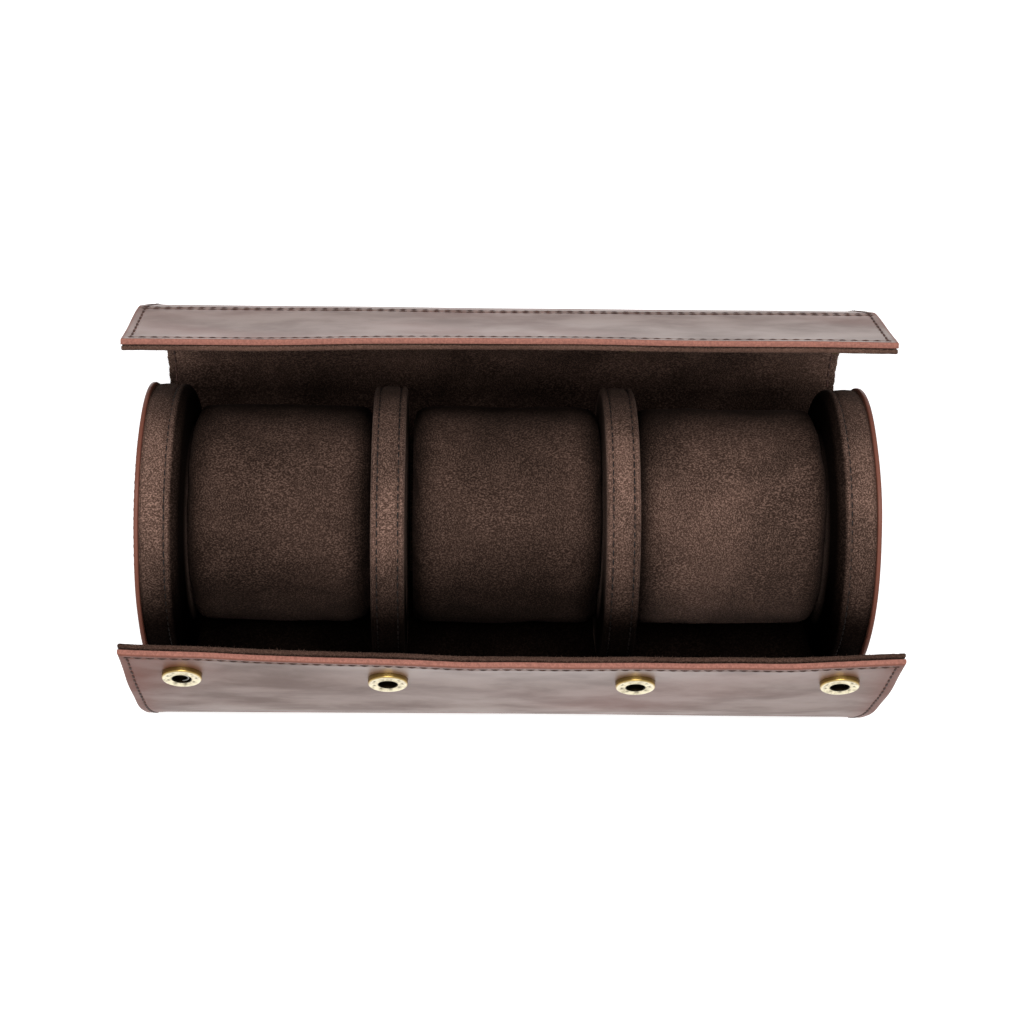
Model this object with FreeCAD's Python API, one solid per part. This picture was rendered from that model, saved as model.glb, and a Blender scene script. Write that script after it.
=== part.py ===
"""Round leather roll for three watches, shown open.

A leather wrap with a suede lining lies under two round end caps and two round
dividers. Its front flap and rear flap stand up at rest, and close over the top,
where four press studs on the rear closure band snap into four sockets on the
front flap. The wrap is cut into stiff strips that turn on fold lines, so that it
can close. Three pillows lie in the compartments and lift out.

Units are millimetres and degrees. X runs along the roll, Y to the rear and Z up.
The origin lies on the underside of the wrap, below the centre of the end caps.
"""
import FreeCAD, Part
import math
import os

# The wrap's sheet
WRAP_LENGTH = 260.0
LEATHER = 1.8
LINING = 1.8
FOLD_GAP = 0.3

# The front flap, from the base to its free edge
BASE_FRONT = 18.2
FRONT_FLAT = 42.4
FRONT_BEND_RADIUS = 16.5
FRONT_BEND_TURN = 73.0
FRONT_HEEL_RISE = 12.8
FRONT_LOWER_WALL = 18.2
FRONT_UPPER_WALL = 29.5
FRONT_SNAP_STRIP = 30.0
FRONT_LOWER_LEAN = 5.0
FRONT_UPPER_LEAN = 9.8
FRONT_STRIP_LEAN = 3.5

# The rear flap, from the base to its free edge
BASE_REAR = 26.5
REAR_FLAT = 58.4
REAR_BEND_RADIUS = 26.5
REAR_BEND_TURN = 86.5
REAR_HEEL_RISE = 20.6
REAR_LOWER_WALL = 23.2
REAR_UPPER_WALL = 34.0
BAND_WIDTH = 42.0
REAR_LOWER_LEAN = 26.7
REAR_UPPER_LEAN = 5.4
BAND_LEAN = 12.3

# Stiffeners sewn between leather and lining
STIFFENER = 0.6
STIFFENER_MARGIN = 4.5
STIFFENER_PLAY = 0.1

# End caps: a leather disc outside, a board, a foam pad and suede
CAP_INSET = 3.0
CAP_RADIUS = 50.0
CAP_LEATHER = 2.2
CAP_BOARD = 2.5
CAP_FOAM = 9.1
CAP_BAND = 7.8
CAP_ROLL = 4.5
CAP_SUEDE_STEP = 0.8
SEAT_DEPTH = 1.0
SUEDE = 1.2

# Dividers: a board between two foam pads, covered in suede
DIVIDER_RADIUS = 49.0
DIVIDER_BOARD = 2.4
DIVIDER_FOAM = 3.4
DIVIDER_BAND = 7.0
DIVIDER_ROLL = 2.0
COMPARTMENTS = 3

# Pillows
PILLOW_DEPTH = 80.0
PILLOW_HEIGHT = 85.0
PILLOW_REARWARD = 4.5
PILLOW_FOOT = 16.0
PILLOW_LOWER_FULLNESS = 0.66
PILLOW_SIDE_GAP = 1.0
PILLOW_FLOOR_GAP = 0.3
PILLOW_END_DRAW = 5.0
PILLOW_SHOULDER_DRAW = 1.5
PILLOW_WAIST_DRAW = 0.5
PILLOW_SHOULDER = 4.5
PILLOW_WAIST = 12.0

# Press snaps
SNAP_FROM_END = 19.6
SNAP_PITCH = 68.9
SOCKET_FROM_EDGE = 17.0
STUD_FROM_FOLD = 32.5
SOCKET_RADIUS = 6.75
SOCKET_HEIGHT = 2.8
SOCKET_RIM = 0.9
SOCKET_DISH = 0.5
SOCKET_HOLE_RADIUS = 2.8
SOCKET_CAVITY_RADIUS = 3.8
SOCKET_FLOOR = 0.5
SOCKET_LIP = 0.8
SPRING_WIRE_RADIUS = 0.28
SPRING_RADIUS = 3.4
SPRING_PLAY = 0.05
POST_RADIUS = 1.7
POST_PLAY = 0.1
POST_HEAD_RADIUS = 2.6
POST_HEAD = 0.4
POST_FOOT_RADIUS = 5.5
POST_FOOT = 0.8
STUD_FLANGE_RADIUS = 5.2
STUD_FLANGE = 0.6
STUD_NECK_RADIUS = 2.1
STUD_BALL_RADIUS = 2.45
STUD_BALL = 1.9
RIVET_HEAD_RADIUS = 4.5
RIVET_HEAD = 0.5

WRAP = LEATHER + LINING
CAP_THICKNESS = CAP_LEATHER + CAP_BOARD + CAP_FOAM + SUEDE
CAP_OUTER_X = WRAP_LENGTH / 2 - CAP_INSET
CAP_INNER_X = CAP_OUTER_X - CAP_THICKNESS
DIVIDER_THICKNESS = DIVIDER_BOARD + 2 * (DIVIDER_FOAM + SUEDE)
DIVIDERS = COMPARTMENTS - 1
COMPARTMENT = (2 * CAP_INNER_X - DIVIDERS * DIVIDER_THICKNESS) / COMPARTMENTS
COMPARTMENT_PITCH = COMPARTMENT + DIVIDER_THICKNESS
SNAP_OUTER_X = WRAP_LENGTH / 2 - SNAP_FROM_END
SNAP_INNER_X = SNAP_OUTER_X - SNAP_PITCH
SNAP_PLACES = (-SNAP_OUTER_X, -SNAP_INNER_X, SNAP_INNER_X, SNAP_OUTER_X)
FRONT, REAR = -1, 1
INSIDE, OUTSIDE = 1, -1


class Run:
    """A straight or evenly curved stretch of the line between leather and lining."""

    def __init__(self, start, heading, length, turn):
        self.start = start
        self.heading = heading
        self.length = length
        self.turn = turn

    def heading_at(self, along):
        return self.heading + self.turn * along / self.length

    def point_at(self, along, offset=0.0):
        """A point at a distance along the run, and off it towards the inside."""
        first = math.radians(self.heading)
        now = math.radians(self.heading_at(along))
        if self.turn == 0:
            y = self.start[0] + along * math.cos(first)
            z = self.start[1] + along * math.sin(first)
        else:
            radius = self.length / math.radians(self.turn)
            y = self.start[0] + radius * (math.sin(now) - math.sin(first))
            z = self.start[1] - radius * (math.cos(now) - math.cos(first))
        return (y - offset * math.sin(now), z + offset * math.cos(now))


class Strip:
    """One stiff strip of the wrap, from its fold line to the next one."""

    def __init__(self, name, side, fold, heading, moves):
        self.name = name
        self.side = side
        self.fold = fold
        self.runs = []
        for length, turn in moves:
            run = Run(fold, heading, length, turn)
            self.runs.append(run)
            fold = run.point_at(length)
            heading = run.heading_at(length)
        self.end = fold
        self.end_heading = heading

    def trimmed_runs(self):
        """The runs without the clearance that lets this strip turn at its fold."""
        trim = max(LEATHER, LINING) + FOLD_GAP
        first = self.runs[0]
        turn = first.turn * (1 - trim / first.length)
        begun = Run(first.point_at(trim), first.heading_at(trim), first.length - trim, turn)
        return [begun] + self.runs[1:]

    def vector(self, point):
        return FreeCAD.Vector(-WRAP_LENGTH / 2, self.side * point[0], point[1])

    def layer(self, thickness, face, fold_follows):
        """The leather or the lining of the strip, with a round nose where a fold follows."""
        runs = self.trimmed_runs()
        last = runs[-1]
        offset = face * thickness
        edges = [self.edge(run, 0.0) for run in runs]
        tip = last.point_at(last.length)
        outer_tip = last.point_at(last.length, offset)
        if fold_follows:
            edges += self.nose(tip, outer_tip, thickness, offset)
        else:
            edges.append(Part.makeLine(self.vector(tip), self.vector(outer_tip)))
        edges += [self.edge(run, offset) for run in reversed(runs)]
        heel = runs[0].point_at(0.0)
        outer_heel = runs[0].point_at(0.0, offset)
        edges.append(Part.makeLine(self.vector(outer_heel), self.vector(heel)))
        return extruded(edges)

    def edge(self, run, offset):
        first = self.vector(run.point_at(0.0, offset))
        last = self.vector(run.point_at(run.length, offset))
        if run.turn == 0:
            return Part.makeLine(first, last)
        middle = self.vector(run.point_at(run.length / 2, offset))
        return Part.Arc(first, middle, last).toShape()

    def nose(self, tip, outer_tip, thickness, offset):
        """A straight end and a quarter round about the fold line."""
        ahead = math.radians(self.end_heading)
        between = ahead + math.copysign(math.pi / 4, offset)
        front = (tip[0] + thickness * math.cos(ahead), tip[1] + thickness * math.sin(ahead))
        bulge = (tip[0] + thickness * math.cos(between), tip[1] + thickness * math.sin(between))
        flat = Part.makeLine(self.vector(tip), self.vector(front))
        arc = Part.Arc(self.vector(front), self.vector(bulge), self.vector(outer_tip)).toShape()
        return [flat, arc]

    def seat(self, along, x):
        """The frame of a place on a straight strip: its Z axis points out of the leather."""
        y, z = self.runs[0].point_at(along)
        heading = math.radians(self.runs[0].heading)
        outward = FreeCAD.Vector(0, self.side * math.sin(heading), -math.cos(heading))
        forward = FreeCAD.Vector(0, self.side * math.cos(heading), math.sin(heading))
        turn = FreeCAD.Rotation(forward.cross(outward), forward, outward, "ZYX")
        return FreeCAD.Placement(FreeCAD.Vector(x, self.side * y, z), turn)


def extruded(edges):
    """A solid the full length of the wrap over a closed outline."""
    wire = Part.Wire(Part.sortEdges(edges)[0])
    return Part.Face(wire).extrude(FreeCAD.Vector(WRAP_LENGTH, 0, 0))


def turned(profile, axis=FreeCAD.Vector(0, 0, 1)):
    """A solid of revolution about an axis, from points in the XZ plane."""
    points = [FreeCAD.Vector(x, 0, z) for x, z in profile]
    face = Part.Face(Part.makePolygon(points + points[:1]))
    return face.revolve(FreeCAD.Vector(), axis, 360)


def box_between(low, high):
    size = [b - a for a, b in zip(low, high)]
    return Part.makeBox(*size, FreeCAD.Vector(*low))


# The wrap

def flap_strips(side, fold_y, moves_by_strip):
    """The strips of one flap in order, each starting at the last one's fold line."""
    strips = []
    fold = (fold_y, LEATHER)
    heading = 0.0
    for name, lean, moves in moves_by_strip:
        strip = Strip(name, side, fold, heading + lean, moves)
        strips.append(strip)
        fold = strip.end
        heading = strip.end_heading
    return strips


def front_strips():
    half_turn = FRONT_BEND_TURN / 2
    half_bend = FRONT_BEND_RADIUS * math.radians(half_turn)
    return flap_strips(FRONT, BASE_FRONT, (
        ("front_sole", 0.0, ((FRONT_FLAT - BASE_FRONT, 0.0), (half_bend, half_turn))),
        ("front_heel", 0.0, ((half_bend, half_turn), (FRONT_HEEL_RISE, 0.0))),
        ("front_lower_wall", FRONT_LOWER_LEAN, ((FRONT_LOWER_WALL, 0.0),)),
        ("front_upper_wall", FRONT_UPPER_LEAN, ((FRONT_UPPER_WALL, 0.0),)),
        ("front_snap_strip", FRONT_STRIP_LEAN, ((FRONT_SNAP_STRIP, 0.0),)),
    ))


def rear_strips():
    half_turn = REAR_BEND_TURN / 2
    half_bend = REAR_BEND_RADIUS * math.radians(half_turn)
    return flap_strips(REAR, BASE_REAR, (
        ("rear_sole", 0.0, ((REAR_FLAT - BASE_REAR, 0.0), (half_bend, half_turn))),
        ("rear_heel", 0.0, ((half_bend, half_turn), (REAR_HEEL_RISE, 0.0))),
        ("rear_lower_wall", REAR_LOWER_LEAN, ((REAR_LOWER_WALL, 0.0),)),
        ("rear_upper_wall", REAR_UPPER_LEAN, ((REAR_UPPER_WALL, 0.0),)),
        ("closure_band", BAND_LEAN, ((BAND_WIDTH, 0.0),)),
    ))


def base_layer(thickness, face):
    """The middle strip, with a round nose at its front and its rear fold line."""
    front, rear, split = -BASE_FRONT, BASE_REAR, LEATHER
    offset = face * thickness
    slant = thickness * math.sqrt(0.5)

    def at(y, z):
        return FreeCAD.Vector(-WRAP_LENGTH / 2, y, z)

    edges = [Part.makeLine(at(front - thickness, split), at(rear + thickness, split))]
    for y, way in ((rear, 1), (front, -1)):
        nose = Part.Arc(at(y + way * thickness, split), at(y + way * slant, split + face * slant),
                        at(y, split + offset))
        edges.append(nose.toShape())
    edges.append(Part.makeLine(at(rear, split + offset), at(front, split + offset)))
    return extruded(edges)


def stiffener_plate(strip, width):
    """A stiff plate under the leather, and the recess for it in the lining."""
    half = WRAP_LENGTH / 2 - STIFFENER_MARGIN
    low = (-half, STIFFENER_MARGIN, -STIFFENER)
    high = (half, width - STIFFENER_MARGIN, 0.0)
    plate = box_between(low, high)
    plate.Placement = strip.seat(0.0, 0.0)
    recess = box_between(
        (low[0] - STIFFENER_PLAY, low[1] - STIFFENER_PLAY, low[2]),
        (high[0] + STIFFENER_PLAY, high[1] + STIFFENER_PLAY, high[2]),
    )
    recess.Placement = strip.seat(0.0, 0.0)
    return plate, recess


def at_snaps(shape, strip, along):
    """A copy of a shape at each snap of a strip."""
    copies = []
    for x in SNAP_PLACES:
        copy = shape.copy()
        copy.Placement = strip.seat(along, x)
        copies.append(copy)
    return Part.makeCompound(copies)


def bore(radius, low, high):
    return Part.makeCylinder(radius, high - low, FreeCAD.Vector(0, 0, low))


# Press snaps: the Z axis runs out of the leather, from the line between the layers

def socket():
    """The female half: a dished ring with a rim, over a hidden cavity for the spring."""
    top = LEATHER + SOCKET_HEIGHT
    floor = LEATHER + SOCKET_FLOOR
    lip = top - SOCKET_DISH - SOCKET_LIP
    hole = POST_RADIUS + POST_PLAY
    return turned((
        (hole, LEATHER),
        (SOCKET_RADIUS, LEATHER),
        (SOCKET_RADIUS, top - SOCKET_DISH / 2),
        (SOCKET_RADIUS - SOCKET_RIM / 2, top),
        (SOCKET_RADIUS - SOCKET_RIM, top),
        (SOCKET_RADIUS - SOCKET_RIM - SOCKET_DISH, top - SOCKET_DISH),
        (SOCKET_HOLE_RADIUS, top - SOCKET_DISH),
        (SOCKET_HOLE_RADIUS, lip),
        (SOCKET_CAVITY_RADIUS, lip),
        (SOCKET_CAVITY_RADIUS, floor),
        (hole, floor),
    ))


def socket_spring():
    """A ring of wire under the socket's lip."""
    height = LEATHER + SOCKET_HEIGHT - SOCKET_DISH - SOCKET_LIP - SPRING_WIRE_RADIUS - SPRING_PLAY
    return Part.makeTorus(SPRING_RADIUS, SPRING_WIRE_RADIUS, FreeCAD.Vector(0, 0, height))


def socket_post():
    """The rivet through the flap: a head in the cavity and a foot let into the lining."""
    foot = -LINING
    head = LEATHER + SOCKET_FLOOR
    return turned((
        (0, foot),
        (POST_FOOT_RADIUS, foot),
        (POST_FOOT_RADIUS, foot + POST_FOOT),
        (POST_RADIUS, foot + POST_FOOT),
        (POST_RADIUS, head),
        (POST_HEAD_RADIUS, head),
        (POST_HEAD_RADIUS, head + POST_HEAD),
        (0, head + POST_HEAD),
    ))


def stud():
    """The male half: a flange on the lining and a ball that snaps into the socket."""
    flange = -LINING - STUD_FLANGE
    tip = flange - STUD_BALL
    waist = flange - STUD_BALL / 3
    shoulder = flange - 2 * STUD_BALL / 3
    hole = POST_RADIUS + POST_PLAY
    cap = tip + (flange - tip) / 4
    return turned((
        (hole, -LINING),
        (STUD_FLANGE_RADIUS, -LINING),
        (STUD_FLANGE_RADIUS, flange),
        (STUD_NECK_RADIUS, flange),
        (STUD_NECK_RADIUS, waist),
        (STUD_BALL_RADIUS, shoulder),
        (STUD_NECK_RADIUS, tip),
        (0, tip),
        (0, cap),
        (hole, cap),
    ))


def stud_rivet():
    """The rivet that holds the stud: a head hidden under the leather, and a shank."""
    flange = -LINING - STUD_FLANGE
    shank_end = flange - STUD_BALL + STUD_BALL / 4
    return turned((
        (0, -STIFFENER + RIVET_HEAD),
        (RIVET_HEAD_RADIUS, -STIFFENER + RIVET_HEAD),
        (RIVET_HEAD_RADIUS, -STIFFENER),
        (POST_RADIUS, -STIFFENER),
        (POST_RADIUS, shank_end),
        (0, shank_end),
    ))


def front_snap_layers(strip, leather, lining):
    """Stiffener, sockets and posts, and the holes they need in the snap strip."""
    along = FRONT_SNAP_STRIP - SOCKET_FROM_EDGE
    hole_radius = POST_RADIUS + POST_PLAY
    plate, recess = stiffener_plate(strip, FRONT_SNAP_STRIP)
    holes = at_snaps(bore(hole_radius, -WRAP, WRAP), strip, along)
    foot = bore(POST_FOOT_RADIUS + POST_PLAY, -LINING, -LINING + POST_FOOT)
    return {
        "front_snap_strip_leather": leather.cut(holes),
        "front_snap_strip_lining": lining.cut(recess).cut(holes).cut(at_snaps(foot, strip, along)),
        "front_snap_stiffener": plate.cut(holes),
        "snap_sockets": at_snaps(socket(), strip, along),
        "socket_springs": at_snaps(socket_spring(), strip, along),
        "socket_posts": at_snaps(socket_post(), strip, along),
    }


def band_snap_layers(strip, leather, lining):
    """Stiffener, studs and rivets, and the holes they need in the closure band."""
    plate, recess = stiffener_plate(strip, BAND_WIDTH)
    holes = at_snaps(bore(POST_RADIUS + POST_PLAY, -WRAP, 0.0), strip, STUD_FROM_FOLD)
    heads = at_snaps(bore(RIVET_HEAD_RADIUS + POST_PLAY, -STIFFENER, 0.0), strip, STUD_FROM_FOLD)
    return {
        "closure_band_leather": leather,
        "closure_band_lining": lining.cut(recess).cut(holes),
        "closure_band_stiffener": plate.cut(heads),
        "snap_studs": at_snaps(stud(), strip, STUD_FROM_FOLD),
        "stud_rivets": at_snaps(stud_rivet(), strip, STUD_FROM_FOLD),
    }


def wrap_nodes():
    nodes = {
        "base_leather": base_layer(LEATHER, OUTSIDE),
        "base_lining": base_layer(LINING, INSIDE),
    }
    for strips, snap_layers in ((front_strips(), front_snap_layers), (rear_strips(), band_snap_layers)):
        for strip in strips:
            fold_follows = strip is not strips[-1]
            leather = strip.layer(LEATHER, OUTSIDE, fold_follows)
            lining = strip.layer(LINING, INSIDE, fold_follows)
            if fold_follows:
                nodes[strip.name + "_leather"] = leather
                nodes[strip.name + "_lining"] = lining
            else:
                nodes.update(snap_layers(strip, leather, lining))
    return nodes


# End caps and dividers, built about the X axis, then set down on the lining

def disc(radius, low, high):
    return Part.makeCylinder(radius, high - low, FreeCAD.Vector(low, 0, 0), FreeCAD.Vector(1, 0, 0))


def rolled_disc(radius, low, high, roll):
    """A disc whose edge is rolled round at its high face."""
    body = disc(radius, low, high)
    rim = [edge for edge in body.Edges if abs(edge.BoundBox.XMin - high) < 1e-6]
    return body.makeFillet(roll, rim)


def set_down(shape, radius, mirrored=False):
    """Lift a round piece to its height and cut the flat on which it stands."""
    if mirrored:
        shape = shape.mirror(FreeCAD.Vector(), FreeCAD.Vector(1, 0, 0))
    height = WRAP + radius - SEAT_DEPTH
    lifted = shape.translated(FreeCAD.Vector(0, 0, height))
    below = box_between((-WRAP_LENGTH, -radius, -radius), (WRAP_LENGTH, radius, WRAP))
    return lifted.cut(below)


def cap_nodes(side, mirrored):
    """One end cap, drawn for the left end with its outer face at the lowest X."""
    outer = -CAP_OUTER_X
    board = outer + CAP_LEATHER
    foam = board + CAP_BOARD
    face = foam + CAP_FOAM
    inner = face + SUEDE
    rim = CAP_RADIUS - CAP_SUEDE_STEP
    core = rim - SUEDE
    seam = board + CAP_BAND
    leather = disc(CAP_RADIUS, outer, board)
    pad = rolled_disc(core, foam, face, CAP_ROLL - SUEDE)
    shell = rolled_disc(rim, seam, inner, CAP_ROLL)
    shapes = {
        "leather": leather,
        "board": disc(core, board, foam),
        "foam": pad,
        "rim_band": disc(rim, board, seam).cut(disc(core, board, seam)),
        "suede_face": shell.cut(pad),
    }
    return {
        "%s_cap_%s" % (side, name): set_down(shape, CAP_RADIUS, mirrored)
        for name, shape in shapes.items()
    }


def divider_nodes(side, x):
    half_board = DIVIDER_BOARD / 2
    pad_face = half_board + DIVIDER_FOAM
    half = DIVIDER_THICKNESS / 2
    core = DIVIDER_RADIUS - SUEDE
    seam = DIVIDER_BAND / 2
    pad = rolled_disc(core, half_board, pad_face, DIVIDER_ROLL - SUEDE)
    cover = rolled_disc(DIVIDER_RADIUS, seam, half, DIVIDER_ROLL).cut(pad).cut(disc(core, 0.0, half_board))
    across = FreeCAD.Vector(1, 0, 0)
    shapes = {
        "board": disc(core, -half_board, half_board),
        "foam": Part.makeCompound([pad, pad.mirror(FreeCAD.Vector(), across)]),
        "rim_band": disc(DIVIDER_RADIUS, -seam, seam).cut(disc(core, -seam, seam)),
        "suede_faces": Part.makeCompound([cover, cover.mirror(FreeCAD.Vector(), across)]),
    }
    return {
        "%s_divider_%s" % (side, name): set_down(shape, DIVIDER_RADIUS).translated(FreeCAD.Vector(x, 0, 0))
        for name, shape in shapes.items()
    }


# Pillows

def pillow_section(x, draw):
    """The pillow's outline at one place along the roll, drawn in all round."""
    half = PILLOW_DEPTH / 2 - draw
    foot = PILLOW_FOOT / 2
    low = WRAP + PILLOW_FLOOR_GAP + draw
    high = WRAP + PILLOW_FLOOR_GAP + PILLOW_HEIGHT - draw
    middle = (low + high) / 2
    slant = math.sqrt(0.5)

    def at(y, z):
        return FreeCAD.Vector(x, PILLOW_REARWARD + y, z)

    edges = [Part.makeLine(at(-foot, low), at(foot, low))]
    corners = [at(foot, low), at(half, middle), at(0, high), at(-half, middle), at(-foot, low)]
    lower_y = foot + (half - foot) * PILLOW_LOWER_FULLNESS
    lower_z = middle - (middle - low) * PILLOW_LOWER_FULLNESS
    upper_z = middle + (high - middle) * slant
    bulges = [at(lower_y, lower_z), at(half * slant, upper_z), at(-half * slant, upper_z), at(-lower_y, lower_z)]
    for first, bulge, last in zip(corners, bulges, corners[1:]):
        edges.append(Part.Arc(first, bulge, last).toShape())
    return Part.Wire(edges)


def pillow_body(centre_x, inset):
    """A crowned pillow with drawn-in ends, smaller all round by the inset."""
    half = COMPARTMENT / 2 - PILLOW_SIDE_GAP
    stations = (
        (half - inset, PILLOW_END_DRAW),
        (half - PILLOW_SHOULDER, PILLOW_SHOULDER_DRAW),
        (half - PILLOW_WAIST, PILLOW_WAIST_DRAW),
    )
    places = [(-x, draw) for x, draw in stations] + [(0.0, 0.0)] + [(x, draw) for x, draw in reversed(stations)]
    sections = [pillow_section(centre_x + x, draw + inset) for x, draw in places]
    return Part.makeLoft(sections, True, False)


def pillow_nodes(name, x):
    core = pillow_body(x, SUEDE)
    return {
        name + "_pillow_foam": core,
        name + "_pillow_cover": pillow_body(x, 0.0).cut(core),
    }


def all_nodes():
    nodes = wrap_nodes()
    nodes.update(cap_nodes("left", False))
    nodes.update(cap_nodes("right", True))
    for side, way in (("left", -1), ("right", 1)):
        nodes.update(divider_nodes(side, way * COMPARTMENT_PITCH / 2))
    for place, name in enumerate(("left", "middle", "right")):
        nodes.update(pillow_nodes(name, (place - 1) * COMPARTMENT_PITCH))
    return nodes


os.makedirs("parts", exist_ok=True)
for node_name, node_shape in all_nodes().items():
    node_shape.exportStep("parts/%s.step" % node_name)
    print(node_name, "solids", len(node_shape.Solids), "valid", node_shape.isValid(),
          "volume %.1f" % node_shape.Volume)
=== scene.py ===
"""Looks of a round leather watch roll, shown open from the front and above.

The wrap is one leather sheet with a suede lining, sewn along its edges. It lies
under two padded end caps and two padded dividers, with a pillow in each room
between them. Four snap sockets sit on the front flap and four studs on the
closure band. Sizes are millimetres until a mesh is made, which is in metres.
"""

import logging
import math
from dataclasses import dataclass, field, replace
from enum import Enum
from typing import Any, Iterable, NamedTuple, Sequence

import bmesh
import bpy
import numpy as np
from mathutils import Matrix, Vector, noise


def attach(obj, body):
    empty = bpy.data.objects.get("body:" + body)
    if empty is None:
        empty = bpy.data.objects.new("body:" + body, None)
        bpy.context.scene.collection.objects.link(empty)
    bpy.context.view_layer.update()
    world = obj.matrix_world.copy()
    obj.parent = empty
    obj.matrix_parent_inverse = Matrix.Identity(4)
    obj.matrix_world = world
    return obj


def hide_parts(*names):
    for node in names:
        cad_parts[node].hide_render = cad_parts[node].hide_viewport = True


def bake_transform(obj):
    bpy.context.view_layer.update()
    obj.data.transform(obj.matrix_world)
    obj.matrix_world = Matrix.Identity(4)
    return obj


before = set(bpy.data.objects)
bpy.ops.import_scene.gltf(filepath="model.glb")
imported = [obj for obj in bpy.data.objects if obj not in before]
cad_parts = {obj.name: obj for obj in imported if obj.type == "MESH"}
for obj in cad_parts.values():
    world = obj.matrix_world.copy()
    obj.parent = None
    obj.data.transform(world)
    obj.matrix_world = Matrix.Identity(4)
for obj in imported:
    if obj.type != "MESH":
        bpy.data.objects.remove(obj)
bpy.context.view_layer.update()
MM = 0.001
LOG = logging.getLogger("watch_roll")

# Names of the flat map and of the values stored at a mesh's points
FLAT_MAP = "SheetFlat"
CUT_AND_HOLLOW_SHADE = "cut_edge_and_hollow_shade"
MARGIN = "sewn_margin"
DEPTH = "sheet_depth"
# Painted shade: how far a suede surface's colour is darkened towards black, and its sheen taken away
SHADE = "painted_shade"
RUBBED = "rubbed_shine"
NORMAL = "seat_normal"
TANGENT = "seat_tangent"

# Boards sewn in between the sheets of a strip
SEWN_IN = {"front_snap_strip": "front_snap_stiffener", "closure_band": "closure_band_stiffener"}

# Painted shade on round suede pieces, by the way they face in degrees: 0 is the front, 90 is up; INSIDE_KEPT
# is the share of colour left under it on flat faces deep inside
PAINTED_SHADE_FRONT = 20.0
PAINTED_SHADE_REAR = 142.0
PAINTED_SHADE_MIDDLE = 68.0
UNDERSIDE = 95.0
UNDERSIDE_EASE = 45.0
INSIDE_KEPT = 0.6

# Short names of types
Array = np.ndarray
Mesh = bpy.types.Mesh
Material = bpy.types.Material
Node = bpy.types.Node
Piece = bpy.types.Object
Socket = bpy.types.NodeSocket
Colour = tuple[float, float, float]
Span = tuple[float, float]
Outline = list[Span]
Pair = tuple[Array, Array]
Faces = list[tuple[int, ...]]


class Side(Enum):
    """Which way a flap leaves the base."""

    FRONT = -1
    REAR = 1


class Layer(Enum):
    """The two sheets of the wrap."""

    LEATHER = "leather"
    LINING = "lining"


class Wave(NamedTuple):
    """One sine wave of an uneven edge or sheet, in millimetres and radians."""

    height: float
    period: float
    phase: float


def ripple(along: Array, waves: Iterable[Wave]) -> Array:
    """Add up sine waves along a line.

    Args:
        along: Places on the line.
        waves: The waves to add.

    Returns:
        The height at each place.
    """
    total = np.zeros_like(np.asarray(along, float))
    for wave in waves:
        total = total + wave.height * np.sin(2 * math.pi * along / wave.period + wave.phase)
    return total


def smoothstep(share: Array) -> Array:
    """Ease a share from 0 to 1 with level ends."""
    share = np.clip(share, 0.0, 1.0)
    return share * share * (3 - 2 * share)


def ridge(distance: Array, width: float) -> Array:
    """A smooth bump of height 1 and the given half width."""
    return np.exp(-((distance / width) ** 2))


def rise(place: Array, start: float, over: float) -> Array:
    """Ease from 0 at a start to 1 over a length."""
    return smoothstep((place - start) / over)


def mixed(first: Any, second: Any, share: Any) -> Any:
    """A value between two others, by its share of the second."""
    return first + (second - first) * share


def unshaded_share(round_deg: Array, front: Span, rear: Span) -> Array:
    """How much of a round piece's colour is left under its painted shade, by the way that it faces.

    Its underside, which shows only when it is taken out, gets no painted shade.

    Args:
        round_deg: The way it faces: 0 is the front, 90 is up and 180 the rear.
        front: The share left at the front, and where it has all come back.
        rear: The share left at the rear, and where it starts to go.

    Returns:
        A share from 0 to 1.
    """
    lowest = PAINTED_SHADE_MIDDLE - 180.0
    turned = (round_deg - lowest) % 360.0 + lowest
    fore = mixed(front[0], 1.0, rise(turned, PAINTED_SHADE_FRONT, front[1] - PAINTED_SHADE_FRONT))
    aft = mixed(rear[0], 1.0, rise(-turned, -PAINTED_SHADE_REAR, PAINTED_SHADE_REAR - rear[1]))
    return mixed(fore * aft, 1.0, rise(np.abs(turned - PAINTED_SHADE_MIDDLE), UNDERSIDE, UNDERSIDE_EASE))


def add_values(mesh: Mesh, label: str, numbers: Array) -> None:
    """Store a value at each point of a mesh."""
    layer = mesh.attributes.new(label, "FLOAT", "POINT")
    layer.data.foreach_set("value", np.asarray(numbers, np.float32).ravel())


def points_of(mesh: Mesh) -> Array:
    """A mesh's points, in metres.

    Args:
        mesh: The mesh.

    Returns:
        A row for each point.
    """
    points = np.zeros(len(mesh.vertices) * 3, np.float32)
    mesh.vertices.foreach_get("co", points)
    return points.reshape(-1, 3).astype(float)


# Node trees

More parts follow.
